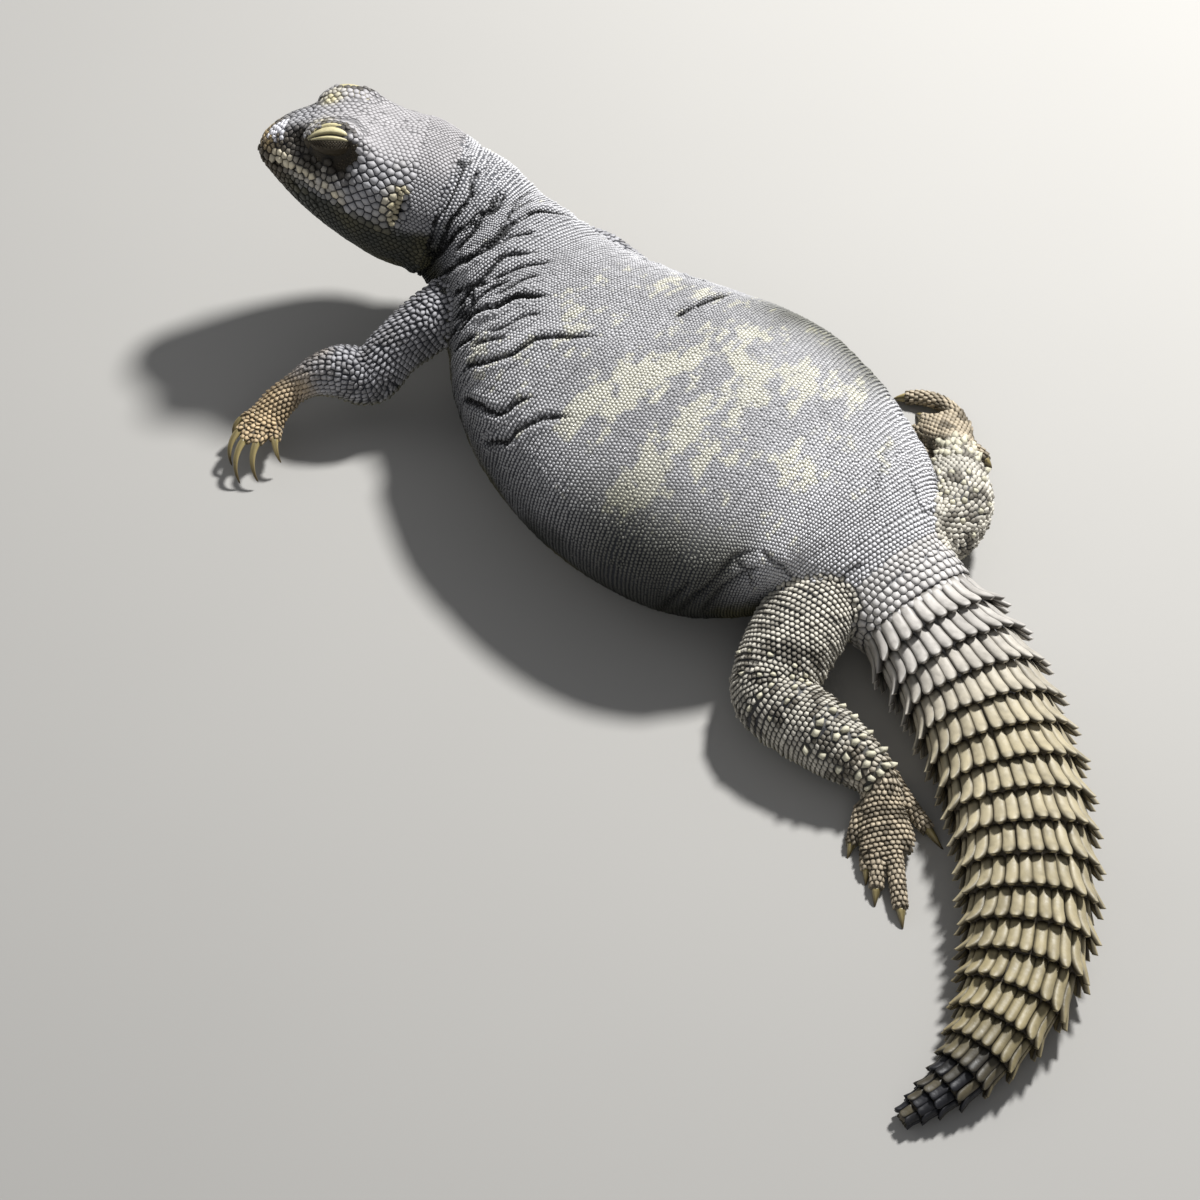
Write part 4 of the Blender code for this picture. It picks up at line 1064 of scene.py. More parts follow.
def lip_sites(sites, colours, draw):
    """Rows of plates along both lips, the rim of the nostril and the ear's comb."""
    for hand in (1, -1):
        for above, start, size, tall, flat in LIP_ROWS:
            line = mouth_line(240, above)
            distance = distances_along(line)
            at = np.arange(size * start, distance[-1], size)
            place = columns(*(np.interp(at, distance, line[:, k]) for k in range(3)))
            add_head_sites(sites, colours, draw, place * (1, hand, 1), size, tall, 0.3, flat)
        turn = np.linspace(0, 2 * math.pi, NOSTRIL_PLATES + 1)[:-1]
        ahead = NOSTRIL_CENTRE[0] + NOSTRIL_REACH * np.cos(turn)
        high = NOSTRIL_CENTRE[2] + NOSTRIL_REACH * np.sin(turn)
        ring = columns(ahead, head_half_width(ahead, high) * hand, high)
        add_head_sites(sites, colours, draw, ring, 2.0, 0.9, 0.2, 0.3)
        high = np.linspace(-1.0, 17.0, EAR_CONES)
        ahead = EAR_CENTRE[0] + 2.6 - 0.12 * (high - 4)
        comb = columns(ahead, np.full(EAR_CONES, 31.0 * hand), high + 3)
        add_head_sites(sites, colours, draw, comb, 2.5, 1.7, 1.3, 0.2, 4.0, tint=colours.ear)


def lid_outline(x):
    """Turn of the slit round the lids and how wide the lids' bands are, at x'."""
    share = np.clip(np.abs(x) / (SLIT_HALF_LENGTH + 1.2), 0, 1)
    turn = SLIT_LIFT + SLIT_ARCH * (0.5 - (x / SLIT_HALF_LENGTH) ** 2)
    return turn, np.sqrt(1 - share**2) + 0.05


def lid_offset(local):
    """How far above the slit places on the lids lie, measured along the bands."""
    slit, wide = lid_outline(local[..., 0])
    turn = np.arctan2(local[..., 2] / LID_RADII[2], local[..., 1] / LID_RADII[1])
    return (turn - slit) * LID_BEND / wide


def on_bands(points):
    """True on the lids below the upper pale ridge."""
    found = np.zeros(len(points), bool)
    for hand in (1, -1):
        local = to_lid(points, hand)
        shell = np.linalg.norm(local / LID_RADII, axis=1) < 1.12
        found |= shell & ((lid_offset(local) < 5.7) | (local[:, 2] < -1))
    return found


def lid_sites(sites, colours, draw):
    """Fine granules in rows that follow the slit, on the lids below their pale bands."""
    long, deep, tall = LID_RADII
    for hand in (1, -1):
        for number, row in enumerate(np.arange(3.2, 12.5, 1.0)):
            x = np.arange(-long + 0.6 * (number % 2), long, 1.2)
            slit, open_share = lid_outline(x)
            bend = slit - row * (0.35 + 0.65 * open_share) / LID_BEND
            wide = np.sqrt(1 - (x / long) ** 2)
            local = columns(x, deep * wide * np.cos(bend), tall * wide * np.sin(bend))
            local = local[(bend > -1.5) & (wide > 0.2)]
            x, z = local[:, 0], local[:, 2]
            light = colours.lid_dark * draw.uniform(0.8, 1.5, len(x))[:, None]
            sites.add(
                from_lid(local, hand), lid_outwards(local, hand), -HEAD_TURN[0],
                light, colours.lid_dark * 0.6, columns(0.85 + x / 120, 0.5 + hand * 0.3 + z / 120),
                1.15, 0.22, 0.2, 0.5, group="lids", reach=2.0,
            )


# Fields of the head's plates: distances ahead, distances round from the top, length and width of
# a plate, height, flatness, unevenness and how far the rows stand apart
HEAD_FIELDS = (
    ((16, 44), (0, 24), 2.3, 2.1, 0.26, 0.95, 0.22, 0.02),
    ((44, 64), (0, 27), 2.7, 2.5, 0.42, 0.9, 0.15, 0.05),
    ((14, 62), (24, 56), 3.9, 2.6, 0.62, 0.85, 0.08, 0.15),
    ((0.5, 16), (0, 56), 1.9, 1.75, 0.5, 0.6, 0.08, 0.1),
    ((64, 80.5), (0, 70), 2.5, 2.3, 0.6, 0.8, 0.12, 0.06),
    ((0.5, 64), (56, 130), 2.6, 2.3, 0.5, 0.7, 0.08, 0.08),
)
# How far the rows of the cheek bend down to the back, and the distance round where it begins
CHEEK_BEND = 5.0
CHEEK_EDGE = 20
CAP_PLATES = 6


def head_sites(sites, props, colours, draw):
    lip_sites(sites, colours, draw)
    lid_sites(sites, colours, draw)
    scale = props.head_pitch / MM / DRAWN_HEAD_PITCH
    rings = [
        angles_round(lambda *place: head_surface(*place, LAID_OUT), at, RING_COUNT)
        for at in np.arange(0.5, 81.0, 1.0)
    ]
    for (first, last), (near, far), length, width, tall, flat, uneven, split in HEAD_FIELDS:
        rows = np.arange(near + 0.5 * width, far + 6, width * 0.9 * scale)
        for hand in (1, -1):
            for number, row in enumerate(rows):
                ahead = np.arange(first + 0.5 * (number % 2) * length, last, length * scale)
                ahead = ahead + draw.uniform(-uneven, uneven, len(ahead)) * length
                ahead = np.clip(ahead, first, last)
                arcs = np.full(len(ahead), row)
                if near > CHEEK_EDGE:
                    bend = CHEEK_BEND * np.clip((46 - ahead) / 36, 0, 1) ** 2
                    arcs = row - CHEEK_BEND + bend
                arcs = arcs + draw.uniform(-uneven, uneven, len(ahead)) * width
                index = np.clip(np.round(ahead - 0.5).astype(int), 0, len(rings) - 1)
                ends = np.array([rings[i][1][-1] for i in index])
                kept = (arcs >= near) & (arcs < np.minimum(far, ends - 0.3 * width))
                if not kept.any():
                    continue
                angles = [
                    np.interp(hand * arc, rings[i][1], rings[i][0])
                    for arc, i in zip(arcs[kept], index[kept])
                ]
                place = head_surface(np.clip(ahead[kept], 0, 81), np.array(angles), LAID_OUT)
                rise = tall * draw.uniform(0.85, 1.15, len(place))
                add_head_sites(
                    sites, colours, draw, place, length * scale, rise, 0.15, flat, 4.8, split=-split
                )
    turn = np.linspace(0, 2 * math.pi, CAP_PLATES + 1)[:-1]
    cap = columns(np.full(CAP_PLATES, 81.6), 2.6 * np.cos(turn), 2.5 + 2.6 * np.sin(turn))
    cap = np.vstack([cap, [[82.4, 0, 2.5]]])
    add_head_sites(sites, colours, draw, cap, 2.6, 0.9, 0.1, 0.5)


def leg_colours(colours, points, share, angle, hind, draw):
    count = len(points)
    tone = 0.8 + 0.4 * cloud(points, 14.0, 3.0) + draw.uniform(-0.16, 0.16, count)
    light = (colours.leg_hind if hind else colours.leg_fore) * tone[:, None]
    foot = ramp(share + 0.12 * (cloud(points, 9.0) - 0.5), 0.62, 0.86)
    tan = colours.foot if hind else colours.hand
    light = mix(light, tan * (0.8 + 0.4 * draw.random((count, 1))), foot)
    spots = ramp(cloud(points, 4.6, 11.0), 0.56, 0.7) * ramp(share, 0.12, 0.3)
    light = mix(light, colours.lid_dark, spots * (0.75 if hind else 0.3))
    low = ramp(-np.sin(angle), 0.1, 0.7)
    light = mix(light, mix(colours.belly_dark, colours.belly, 0.6), low * 0.8)
    return light, mix(colours.seam, colours.foot * 0.2, foot)


# Rows of large pale cones on the outer and upper face of the hind legs: start and end in shares of
# the leg, rows and size
TUBERCLES = ((0.30, 0.50, 4, 0.8), (0.56, 0.80, 5, 1.15))


def tubercle_sites(sites, colours, draw, course, middle):
    for start, end, rows, size in TUBERCLES:
        for row in range(rows):
            at = course.length * (start + (end - start) * (row + 0.5) / rows)
            degrees = 10 + 150 * (np.arange(5 - row % 2) + 0.5 + 0.5 * (row % 2)) / 5
            count = len(degrees)
            angle = np.radians(degrees + draw.uniform(-6, 6, count))
            at = at + draw.uniform(-1, 1, count)
            points, out = course.surface(at, angle, -0.5)
            light = colours.tubercle * draw.uniform(0.85, 1.1, (count, 1))
            chart = chart_of(at, (angle - 1.57) * 12, 0.02, middle)
            rise = 2.3 * size * draw.uniform(0.8, 1.15, count)
            sites.add(
                points, out, course.tangents(at), light, colours.seam, chart, 4.2 * size, rise,
                0.75, 0.0, group="hindlegs",
            )


# Rows of a fore and a hind leg above the wrist, in the size of its scales: scale, distance
# between rows, distance in a row and gap to the next row
LEG_ROWS = {"forelegs": (1.1, 1.08, 0.92, 0.2), "hindlegs": (1.0, 0.88, 1.0, 0.12)}
WRIST = 0.7


def leg_sites(sites, props, colours, draw):
    size = props.leg_pitch / MM
    for number, (leg, course) in enumerate(LEG_COURSES.items()):
        group = leg.split("_")[0] + "s"
        hind = group == "hindlegs"
        middle = 0.125 + number * 0.25
        if hind:
            tubercle_sites(sites, colours, draw, course, middle)
        scale, apart, beside, gap = LEG_ROWS[group]
        wrist, large = course.length * WRIST, size * scale
        upper = staggered(course, 6.0, wrist, large * apart, large * beside, draw, 0.08)
        lower = staggered(course, wrist, course.length + 1.5, size * 0.9, size, draw, 0.06)
        sizes = np.repeat([large, size], [len(upper[0]), len(lower[0])])
        at, angle, arc = (np.concatenate(pair) for pair in zip(upper, lower))
        points, out = course.surface(at, angle, LAID_OUT)
        share = at / course.length
        light, dark = leg_colours(colours, points, share, angle, hind, draw)
        bumpy = (cloud(points, 3.5, 8.0) > 0.6) & hind & (share < 0.55)
        tall = 0.95 * np.where(bumpy, 1.5, 1.0) * draw.uniform(0.85, 1.15, len(at))
        flat = np.where(share > WRIST, 0.75, 0.6)
        sites.add(
            points, out, course.tangents(at), light, dark, chart_of(at, arc, 0.02, middle),
            sizes, tall, 1.0, flat, group=group, split=np.where(share > WRIST, 0.08, gap),
        )
        for toe in range(1, 6):
            line, _ = TOES[f"{leg}_{toe}"]
            small = size * 0.95
            at, angle, arc = staggered(line, 1.0, line.length - 0.4, small, small)
            points, out = line.surface(at, angle, -0.3)
            light, dark = leg_colours(colours, points, np.ones(len(at)), angle, hind, draw)
            chart = chart_of(at, arc, 0.45 + 0.1 * toe, middle)
            sites.add(
                points, out, line.tangents(at), light, dark, chart, small, 0.65, 1.0, 0.75,
                group=group, reach=2.0,
            )


def picked(data, chosen):
    return {name: values[chosen] for name, values in data.items()}


def in_group(data, group):
    return data["group"][:, 0] == COAT_GROUPS.index(group)


def settle(data, surface, bare_points, bare_normals):
    """Moves the places onto the skin, thins the crowded, spreads them and fills bare skin."""
    data = project(data, surface)
    data = picked(data, ~(in_group(data, "head") & on_bands(data["point"])))
    tall = data["height"][:, 0] > 1.7
    data = thinned(picked(data, np.argsort(-data["size"][:, 0] * tall, kind="stable")))
    data = spread(data, surface)
    return spread(project(filled(data, bare_points, bare_normals), surface), surface)


def spread(data, surface):
    """Pushes scales that lie too close apart, along the skin."""
    for _ in range(2):
        found, gaps, distance = neighbours(data["point"], 6)
        close = np.where(in_group(data, "body"), FOLDED_CLOSE, CLOSE)[:, None]
        wanted = close * SPREAD * (data["size"] + data["size"][found, 0])
        push = -gaps / distance[..., None] * np.maximum(wanted - distance, 0)[..., None] * 0.35
        data["point"] = data["point"] + push.sum(1)
        data = project(data, surface)
    return data


def project(data, surface):
    """Moves each place to the nearest skin that faces its way, and out of the lids."""
    places, normals, keep = [], [], []
    for point, out, reach in zip(data["point"], data["out"], data["reach"][:, 0]):
        place, normal, _, _ = surface.find_nearest(Vector(point), reach)
        good = place is not None and normal.dot(Vector(out)) > 0.1
        keep.append(good)
        if good:
            places.append(place)
            normals.append(normal)
    data = picked(data, np.array(keep))
    data["point"], data["out"] = np.array(places), np.array(normals)
    for hand in (1, -1):
        local = to_lid(data["point"], hand)
        inside = np.linalg.norm(local / LID_RADII, axis=1)
        under = (inside < 1) & (inside > 0.5)
        shell = local[under] / inside[under, None]
        data["point"][under] = from_lid(shell, hand)
        data["out"][under] = lid_outwards(shell, hand)
    return data


def thinned(data):
    """Leaves out the later one of any two scales that lie too close."""
    tree = tree_of(data["point"])
    size = data["size"][:, 0]
    close = np.where(in_group(data, "body"), FOLDED_CLOSE, CLOSE)
    kept = np.ones(len(size), bool)
    for number, point in enumerate(data["point"]):
        if not kept[number]:
            continue
        for _, other, gap in tree.find_range(point, size[number] * 0.7):
            if other > number and gap < close[number] * (size[number] + size[other]):
                kept[other] = False
    return picked(data, kept)


def neighbours(points, count):
    """Indices of the nearest others, the way to them and how far they lie."""
    tree = tree_of(points)
    found = np.zeros((len(points), count), int)
    for number, point in enumerate(points):
        near = [entry[1] for entry in tree.find_n(point, count + 1)]
        near.remove(number) if number in near else near.pop()
        found[number] = near
    gaps = points[found] - points[:, None]
    return found, gaps, np.maximum(np.linalg.norm(gaps, axis=2), 1e-6)


BUCKET = 4
AROUND = [(i, j, k) for i in (-1, 0, 1) for j in (-1, 0, 1) for k in (-1, 0, 1)]


def filled(data, candidates, normals):
    """Adds copies of the nearest scale where the skin would show bare."""
    index, gap = nearest_of(tree_of(data["point"]), candidates)
    size = data["size"][index, 0]
    bare = (gap > 0.72 * size) & (gap < 9.0) & ~openings(candidates)
    bare &= BODY_COURSE.place_of(candidates)[0] < whorl_starts()[0][0]
    order = np.where(bare)[0]
    buckets, chosen = {}, []
    for number in order[np.argsort(-gap[order])]:
        x, y, z = candidates[number]
        room = 0.78 * size[number]
        a, b, c = int(x // BUCKET), int(y // BUCKET), int(z // BUCKET)
        near = [
            other for i, j, k in AROUND for other in buckets.get((a + i, b + j, c + k), ())
        ]
        if all((x - i) ** 2 + (y - j) ** 2 + (z - k) ** 2 > room * room for i, j, k in near):
            buckets.setdefault((a, b, c), []).append((x, y, z))
            chosen.append(number)
    chosen = np.array(chosen, int)
    extra = picked(data, index[chosen])
    extra["point"], extra["out"] = candidates[chosen], normals[chosen]
    extra["height"] = np.minimum(extra["height"], 1.0)
    return {name: np.vstack([values, extra[name]]) for name, values in data.items()}


def openings(points):
    """True inside the ears, the nostrils and the parting of the lips, and on the lids' bands."""
    place = to_head(points)
    x, y, z = place[:, 0], np.abs(place[:, 1]), place[:, 2]
    half = columns(x, y, z)
    ear = ((x - EAR_CENTRE[0]) / 2.6) ** 2 + ((z - EAR_CENTRE[2] - 1.5) / 6.2) ** 2 < 1
    nostril = np.linalg.norm(half - NOSTRIL_CENTRE, axis=1) < 2.0
    near = (x > -2) & (y < 40)
    lips = np.zeros(len(points), bool)
    front = near & (x > 40)
    _, gap = nearest_of(tree_of(mouth_line(80)), half[front])
    lips[front] = gap < 1.3
    return near & (ear & (y > 18) | nostril | lips | on_bands(points))


def cell_walls(data):
    """Frames of the scales, and how far off and which way their walls to the neighbours stand."""
    found, gaps, _ = neighbours(data["point"], NEIGHBOURS)
    data["out"] = unit(data["out"] * 1.5 + data["out"][found[:, :5]].sum(1))
    upright = data["out"] * (data["rear"] * data["out"]).sum(1, keepdims=True)
    rear = unit(data["rear"] - upright)
    across = np.cross(data["out"], rear)
    along = (gaps * rear[:, None]).sum(2)
    aside = (gaps * across[:, None]).sum(2)
    own = data["size"]
    walls = np.hypot(along, aside) * own / (own + data["size"][found, 0])
    return rear, across, walls, np.arctan2(aside, along)


def reach_of(walls, turn, ways):
    """How far each scale may reach along its ways before it meets a wall."""
    facing = np.cos(ways[:, :, None] - turn[:, None, :])
    reach = walls[:, None, :] / np.maximum(facing, 0.12)
    return np.where(facing > 0.12, reach, 1e9).min(2)


def corner_ways(walls, turn, sides):
    """The ways to each scale's own corners, made up to the same number for all."""
    fine = full_turn(90)
    reach = reach_of(walls, turn, np.broadcast_to(fine, (len(walls), len(fine))))
    peak = (reach >= np.roll(reach, 1, 1)) & (reach > np.roll(reach, -1, 1))
    ways = np.zeros((len(walls), sides))
    for number, (here, far) in enumerate(zip(peak, reach)):
        found, length = list(fine[here]), list(far[here])
        while len(found) > sides:
            least = int(np.argmin(length))
            found.pop(least)
            length.pop(least)
        while len(found) < sides:
            ends = found + [found[0] + 2 * math.pi]
            gaps = np.diff(ends)
            widest = int(np.argmax(gaps))
            found.insert(widest + 1, ends[widest] + gaps[widest] / 2)
        ways[number] = found
    return ways


def scale_mesh(name, data, rear, across, ways, reach, gap, sink, crisp):
    """Closed low domes or plates, one for each scale, joined in one mesh."""
    count, sides = ways.shape
    point, out, light, dark = data["point"], data["out"], data["light"], data["dark"]
    height, lean, flat, split = data["height"], data["lean"], data["flat"], data["split"]
    cos, sin = np.cos(ways), np.sin(ways)
    radii = np.minimum(reach, data["size"] * 0.64) * (gap + (1 - gap) * flat)
    radii = radii * (1 - np.maximum(split, 0) * cos**2 - np.maximum(-split, 0) * sin**2)
    flow = rear[:, None] * cos[:, :, None] + across[:, None] * sin[:, :, None]
    base = point[:, None] + flow * radii[:, :, None] - out[:, None] * sink
    inner = (0.76 + 0.18 * flat) * (1 + 0.14 * lean * np.maximum(cos, 0))
    shift = rear * (lean * 0.22 * radii.mean(1, keepdims=True))
    rise = height * (0.62 + (0.3 if crisp else 0.26) * flat) * (1 + 0.5 * lean * cos)
    shoulder = point[:, None] + flow * (radii * inner)[:, :, None] + out[:, None] * rise[:, :, None]
    shoulder = shoulder + shift[:, None]
    top = point + out * height * (1 + 0.3 * lean) + shift * 2.2
    points = np.concatenate([base, shoulder, top[:, None]], axis=1).reshape(-1, 3)
    points[:, 2] = np.maximum(points[:, 2], 0.02)
    k = np.arange(sides)
    after = (k + 1) % sides
    first = (np.arange(count) * (2 * sides + 1))[:, None, None]
    walls = columns(k, after, after + sides, k + sides)
    caps = columns(k + sides, after + sides, np.full(sides, 2 * sides))
    floor = columns(np.zeros(sides - 2, int), np.arange(2, sides), np.arange(1, sides - 1))
    walls = (walls[None] + first).reshape(-1, 4)
    tris = (np.vstack([caps, floor])[None] + first).reshape(-1, 3)
    mesh = new_mesh(name, points, [walls, tris])
    if crisp:
        mesh.polygons.foreach_set("use_smooth", np.arange(len(mesh.polygons)) >= len(walls))
    # Each scale's colour rises from the dark of its root through its shoulder to its top, a little
    # lighter still: partly the dark skin between scales, partly painted shade down in the gaps.
    shoulders = (light * 0.9 + dark * 0.1)[:, None]
    around = [np.repeat(dark[:, None], sides, 1), np.repeat(shoulders, sides, 1)]
    shade = np.concatenate(around + [light[:, None] * 1.06], axis=1)
    paint(mesh, shade.reshape(-1, 3))
    ring = np.stack([cos, sin], axis=-1) * PATCH
    offset = np.concatenate([ring, ring * 0.7, np.zeros((count, 1, 2))], axis=1)
    bake_map(mesh, (data["chart"][:, None] + offset).reshape(-1, 2))
    return mesh


def build_coat(props, colours):
    draw = np.random.default_rng(SEED)
    skin = bpy.data.objects["skin"]
    corners, normals, faces, count = [], [], [], 0
    for name in ("skin", "lids_left", "lids_right"):
        mesh = bpy.data.objects[name].data
        points, facing = arrays_of(mesh)
        mesh.calc_loop_triangles()
        tris = np.empty(len(mesh.loop_triangles) * 3, np.int32)
        mesh.loop_triangles.foreach_get("vertices", tris)
        corners.append(points)
        normals.append(facing)
        faces.append(tris.reshape(-1, 3) + count)
        count += len(points)
    corners = np.vstack(corners)
    surface = BVHTree.FromPolygons(corners.tolist(), np.vstack(faces).tolist())
    sites = Sites()
    for fields in (head_sites, leg_sites, body_sites):
        fields(sites, props, colours, draw)
    data = settle(sites.joined(), surface, corners, np.vstack(normals))
    rear, across, walls, turn = cell_walls(data)
    for group in COAT_GROUPS:
        sides = CORNERS.get(group, BEAD_SIDES)
        chosen = np.where(in_group(data, group))[0]
        chosen = chosen[np.argsort(data["chart"][chosen, 0], kind="stable")]
        parts = math.ceil(len(chosen) * (4 * sides - 2) / props.piece_limit)
        for piece, part in enumerate(np.array_split(chosen, parts), 1):
            name = f"scales_{group}" + (f"_{piece}" if parts > 1 else "")
            if group in CORNERS:
                ways = corner_ways(walls[part], turn[part], sides)
            else:
                ways = np.tile(full_turn(sides), (len(part), 1))
            reach = reach_of(walls[part], turn[part], ways)
            mesh = scale_mesh(
                name, picked(data, part), rear[part], across[part], ways, reach,
                props.gap, props.sink / MM, group in CORNERS,
            )
            add_piece(mesh, finish_material("scales"))
    # The skin takes the markings of the scales that stand on it, darker, as seams show it; this
    # dark also carries the painted shade between the scales and in the creases.
    index, _ = nearest_of(tree_of(data["point"]), arrays_of(skin.data)[0])
    paint(skin.data, data["dark"][index] * 0.8 + data["light"][index] * 0.12)


# Tail scutes


SCUTE_ACROSS = 7
SCUTE_ALONG = 11
SCUTE_VALUES = (
    "at", "angle", "length", "half", "tip", "step", "thick", "keel", "lift", "point", "bare"
)
SCUTE_COLOURS = ("light", "dark")
# Angle at which the keeled scutes end and the small plates below the tail begin
TAIL_UNDER = math.radians(-38)
UNDER_ROWS = 2


def scute_mesh(name, data):
    """Closed keeled plates that widen to the back and end in a tip, joined in one mesh."""
    at, angle, length, half, tip, step, thick, keel, lift, point, bare = (
        data[key][:, None, None] for key in SCUTE_VALUES
    )
    count = len(at)
    u = np.linspace(-1, 1, SCUTE_ACROSS)
    v = (1 - np.linspace(1, 0, SCUTE_ALONG) ** 1.6)[:, None]
    side = np.abs(u)
    full = length + tip
    edge = length / full
    ahead = np.clip((v - edge * 0.86) / (1 - edge * 0.86), 0, 1)
    plan = np.maximum(1 - ahead ** (4.2 - 3.0 * point), 0.0) ** (1 / (3.0 - 1.8 * point))
    plan = np.maximum(plan, 0.5 - 0.4 * point) * (0.95 + 0.05 * np.minimum(v / 0.3, 1))
    where = np.clip(at + full * v, 0, BODY_COURSE.length)
    turn = angle + half * plan * u
    fall = -step * np.clip(1 - v / edge, 0, 1)
    rise = lift * np.clip((v - 0.45) / 0.55, 0, 1) ** 1.7
    ridge = (1 - side**1.5) * (0.15 + 0.85 * v**2.2)
    top = fall + rise + thick * (1 - side**4) * (1 - 0.45 * ahead)
    top = top + keel * ridge * (1 - 0.5 * ahead**2)
    under = np.minimum(fall + rise * 0.85 - 0.9 - 0.6 * (1 - ahead), rise - 0.25)
    shape = (count, SCUTE_ALONG, SCUTE_ACROSS)
    points = []
    for out in (top, under):
        place = [np.broadcast_to(values, shape).ravel() for values in (where, turn, out)]
        points.append(BODY_COURSE.surface(*place)[0].reshape(count, -1, 3))
    points = np.concatenate(points, axis=1)
    each = SCUTE_ALONG * SCUTE_ACROSS
    grid = np.arange(each).reshape(shape[1:])
    around = (grid[:-1, :-1], grid[1:, :-1], grid[1:, 1:], grid[:-1, 1:])
    quads = columns(*(part.ravel() for part in around))
    border = np.concatenate([grid[0], grid[1:, -1], grid[-1, -2::-1], grid[-2:0:-1, 0]])
    following = np.roll(border, -1)
    walls = columns(border, following, following + each, border + each)
    pattern = np.vstack([quads, quads[:, ::-1] + each, walls])
    faces = (pattern[None] + (np.arange(count) * 2 * each)[:, None, None]).reshape(-1, 4)
    corner, first = points[0], quads[len(quads) // 2]
    facing = np.cross(corner[first[1]] - corner[first[0]], corner[first[3]] - corner[first[0]])
    outwards = corner[:each].mean(0) - BODY_COURSE.rows(data["at"][:1])[0, :3]
    if np.dot(facing, outwards) < 0:
        faces = faces[:, ::-1]
    flat = points.reshape(-1, 3)
    flat[:, 2] = np.maximum(flat[:, 2], 0.05)
    mesh = new_mesh(name, flat, [faces])
    stain = 0.65 * cloud(flat, 2.4) + 0.35 * cloud(flat, 0.9, 5.0)
    # Each scute darker at its sides, its brown seams; darker at its front as painted shade under
    # the tips of the whorl before it; darker at the rear corners of the blunt ones, partly brown
    # notches and partly painted shade.
    pale = (1 - ramp(side, 0.72, 1.0) * 0.65) * (0.2 + 0.8 * ramp(v, 0.0, 0.09))
    tips = ramp(ahead, 0.1, 0.6) * ramp(side, 0.5, 0.9) * (1 - 0.95 * point)
    pale = pale * (1 - tips)
    # Painted shade on the scutes' undersides, lighter only at the middle of the rear end.
    below = 0.1 + 0.9 * ramp(v, 0.7, 0.82) * (1 - ramp(side, 0.55, 0.85))
    shade = np.stack([pale, np.broadcast_to(below, shape)], axis=1)
    shade = shade * (0.58 + 0.72 * stain.reshape(shade.shape))
    shade = np.clip(shade, 0, 1) * (1 - bare[..., None])
    light, dark = (data[key][:, None, None, None] for key in SCUTE_COLOURS)
    paint(mesh, mix(dark, light, shade).reshape(-1, 3))
    _, arc = BODY_COURSE.around(float(data["at"].mean()))
    reach = arc[-1] / math.pi
    chart = columns(
        (data["at"] - TRUNK_END) * MAP_SCALE + 0.05,
        0.5 + (data["angle"] - math.pi / 2) * reach * MAP_SCALE,
    )
    local = columns(np.repeat(v, SCUTE_ACROSS) - 0.5, np.tile(u, SCUTE_ALONG) * 0.5) * PATCH * 2
    bake_map(mesh, (chart[:, None] + np.vstack([local, local])[None]).reshape(-1, 2))
    return mesh


def build_tail(props, colours):
    draw = np.random.default_rng(SEED + 1)
    rows = {name: [] for name in SCUTE_VALUES + SCUTE_COLOURS}

    def add(count, **values):
        for name, value in values.items():
            shape = (count, 3) if name in SCUTE_COLOURS else (count,)
            rows[name].append(np.broadcast_to(np.asarray(value, float), shape))

    for number, (start, length) in enumerate(zip(*whorl_starts())):
        angle, arc = BODY_COURSE.around(start + 0.6 * length)
        width = BODY_COURSE.rows(start + 0.6 * length)[0, 3]
        size = min(1.0, width / 24)
        spacing = props.scute_width / MM * (0.58 + 0.42 * size)
        low = np.interp(TAIL_UNDER, angle, arc)
        count = max(5, int(round(-2 * low / spacing)))
        places = (np.arange(count) + 0.5) / count * -2 * low + low
        places = places + draw.uniform(-0.06, 0.06, count) * spacing
        turn = np.interp(places, arc, angle)
        slope = np.interp(places + spacing / 2, arc, angle)
        slope = slope - np.interp(places - spacing / 2, arc, angle)
        aside = np.abs(np.cos(turn)) ** 1.6
        black = ramp(number + draw.uniform(-0.5, 0.5, count), 13.6, 15.8)
        light = mix(colours.scute, colours.scute_root, 1 - ramp(number, 0.5, 5.0))
        light = mix(light, colours.scute_end, ramp(number, 6.0, 14.0))
        add(
            count,
            light=light * draw.uniform(0.88, 1.1, count)[:, None],
            dark=mix(colours.scute_dark, colours.tail_end, black),
            at=start - 0.02 * length + draw.uniform(-0.25, 0.25, count),
            angle=turn,
            length=(0.985 - 0.1 * min(number / 8, 1)) * length,
            half=slope * 0.5 * 0.965,
            tip=(2.3 + 3.0 * aside) * size * draw.uniform(0.85, 1.12, count),
            step=2.1 * min(1.0, width / 20),
            thick=0.6 * size,
            keel=(0.8 + 0.5 * aside) * size * draw.uniform(0.85, 1.15, count),
            lift=(2.0 + 2.6 * aside) * size * draw.uniform(0.85, 1.15, count),
            point=np.clip(aside * 1.1 - 0.05, 0, 1),
            bare=black * draw.uniform(0.6, 1.25, count).clip(0, 1),
        )
        under = -arc[0] + low
        each = 3.4 * (0.4 + 0.6 * size)
        count = max(2, int(under / each))
        shift = (np.arange(count) + 0.5) / count * under
        for row in range(UNDER_ROWS):
            for side in (-1, 1):
                place = side * (-low + shift)
                span = np.interp(place + each / 2, arc, angle)
                span = np.abs(span - np.interp(place - each / 2, arc, angle))
                add(
                    count, at=start + length * (0.03 + 0.47 * row), length=0.44 * length,
                    angle=np.interp(place, arc, angle), half=span * 0.47, tip=0.6, step=0.6,
                    thick=0.35, keel=0.12, lift=0.1, point=0.2, light=colours.belly,
                    dark=colours.scute_dark, bare=black[0] * 0.7,
                )
    joined = {name: np.concatenate(value) for name, value in rows.items()}
    each = 4 * (SCUTE_ALONG - 1) * (SCUTE_ACROSS - 1) + 4 * (SCUTE_ALONG + SCUTE_ACROSS - 2)
    total = len(joined["at"])
    parts = np.array_split(np.arange(total), math.ceil(total * each / props.piece_limit))
    for number, part in enumerate(parts, 1):
        mesh = scute_mesh(f"tail_scutes_{number}", picked(joined, part))
        add_piece(mesh, finish_material("tail_scutes"))


# Lids, claws and eyes


LID_COLUMNS, LID_ROWS = 96, 59


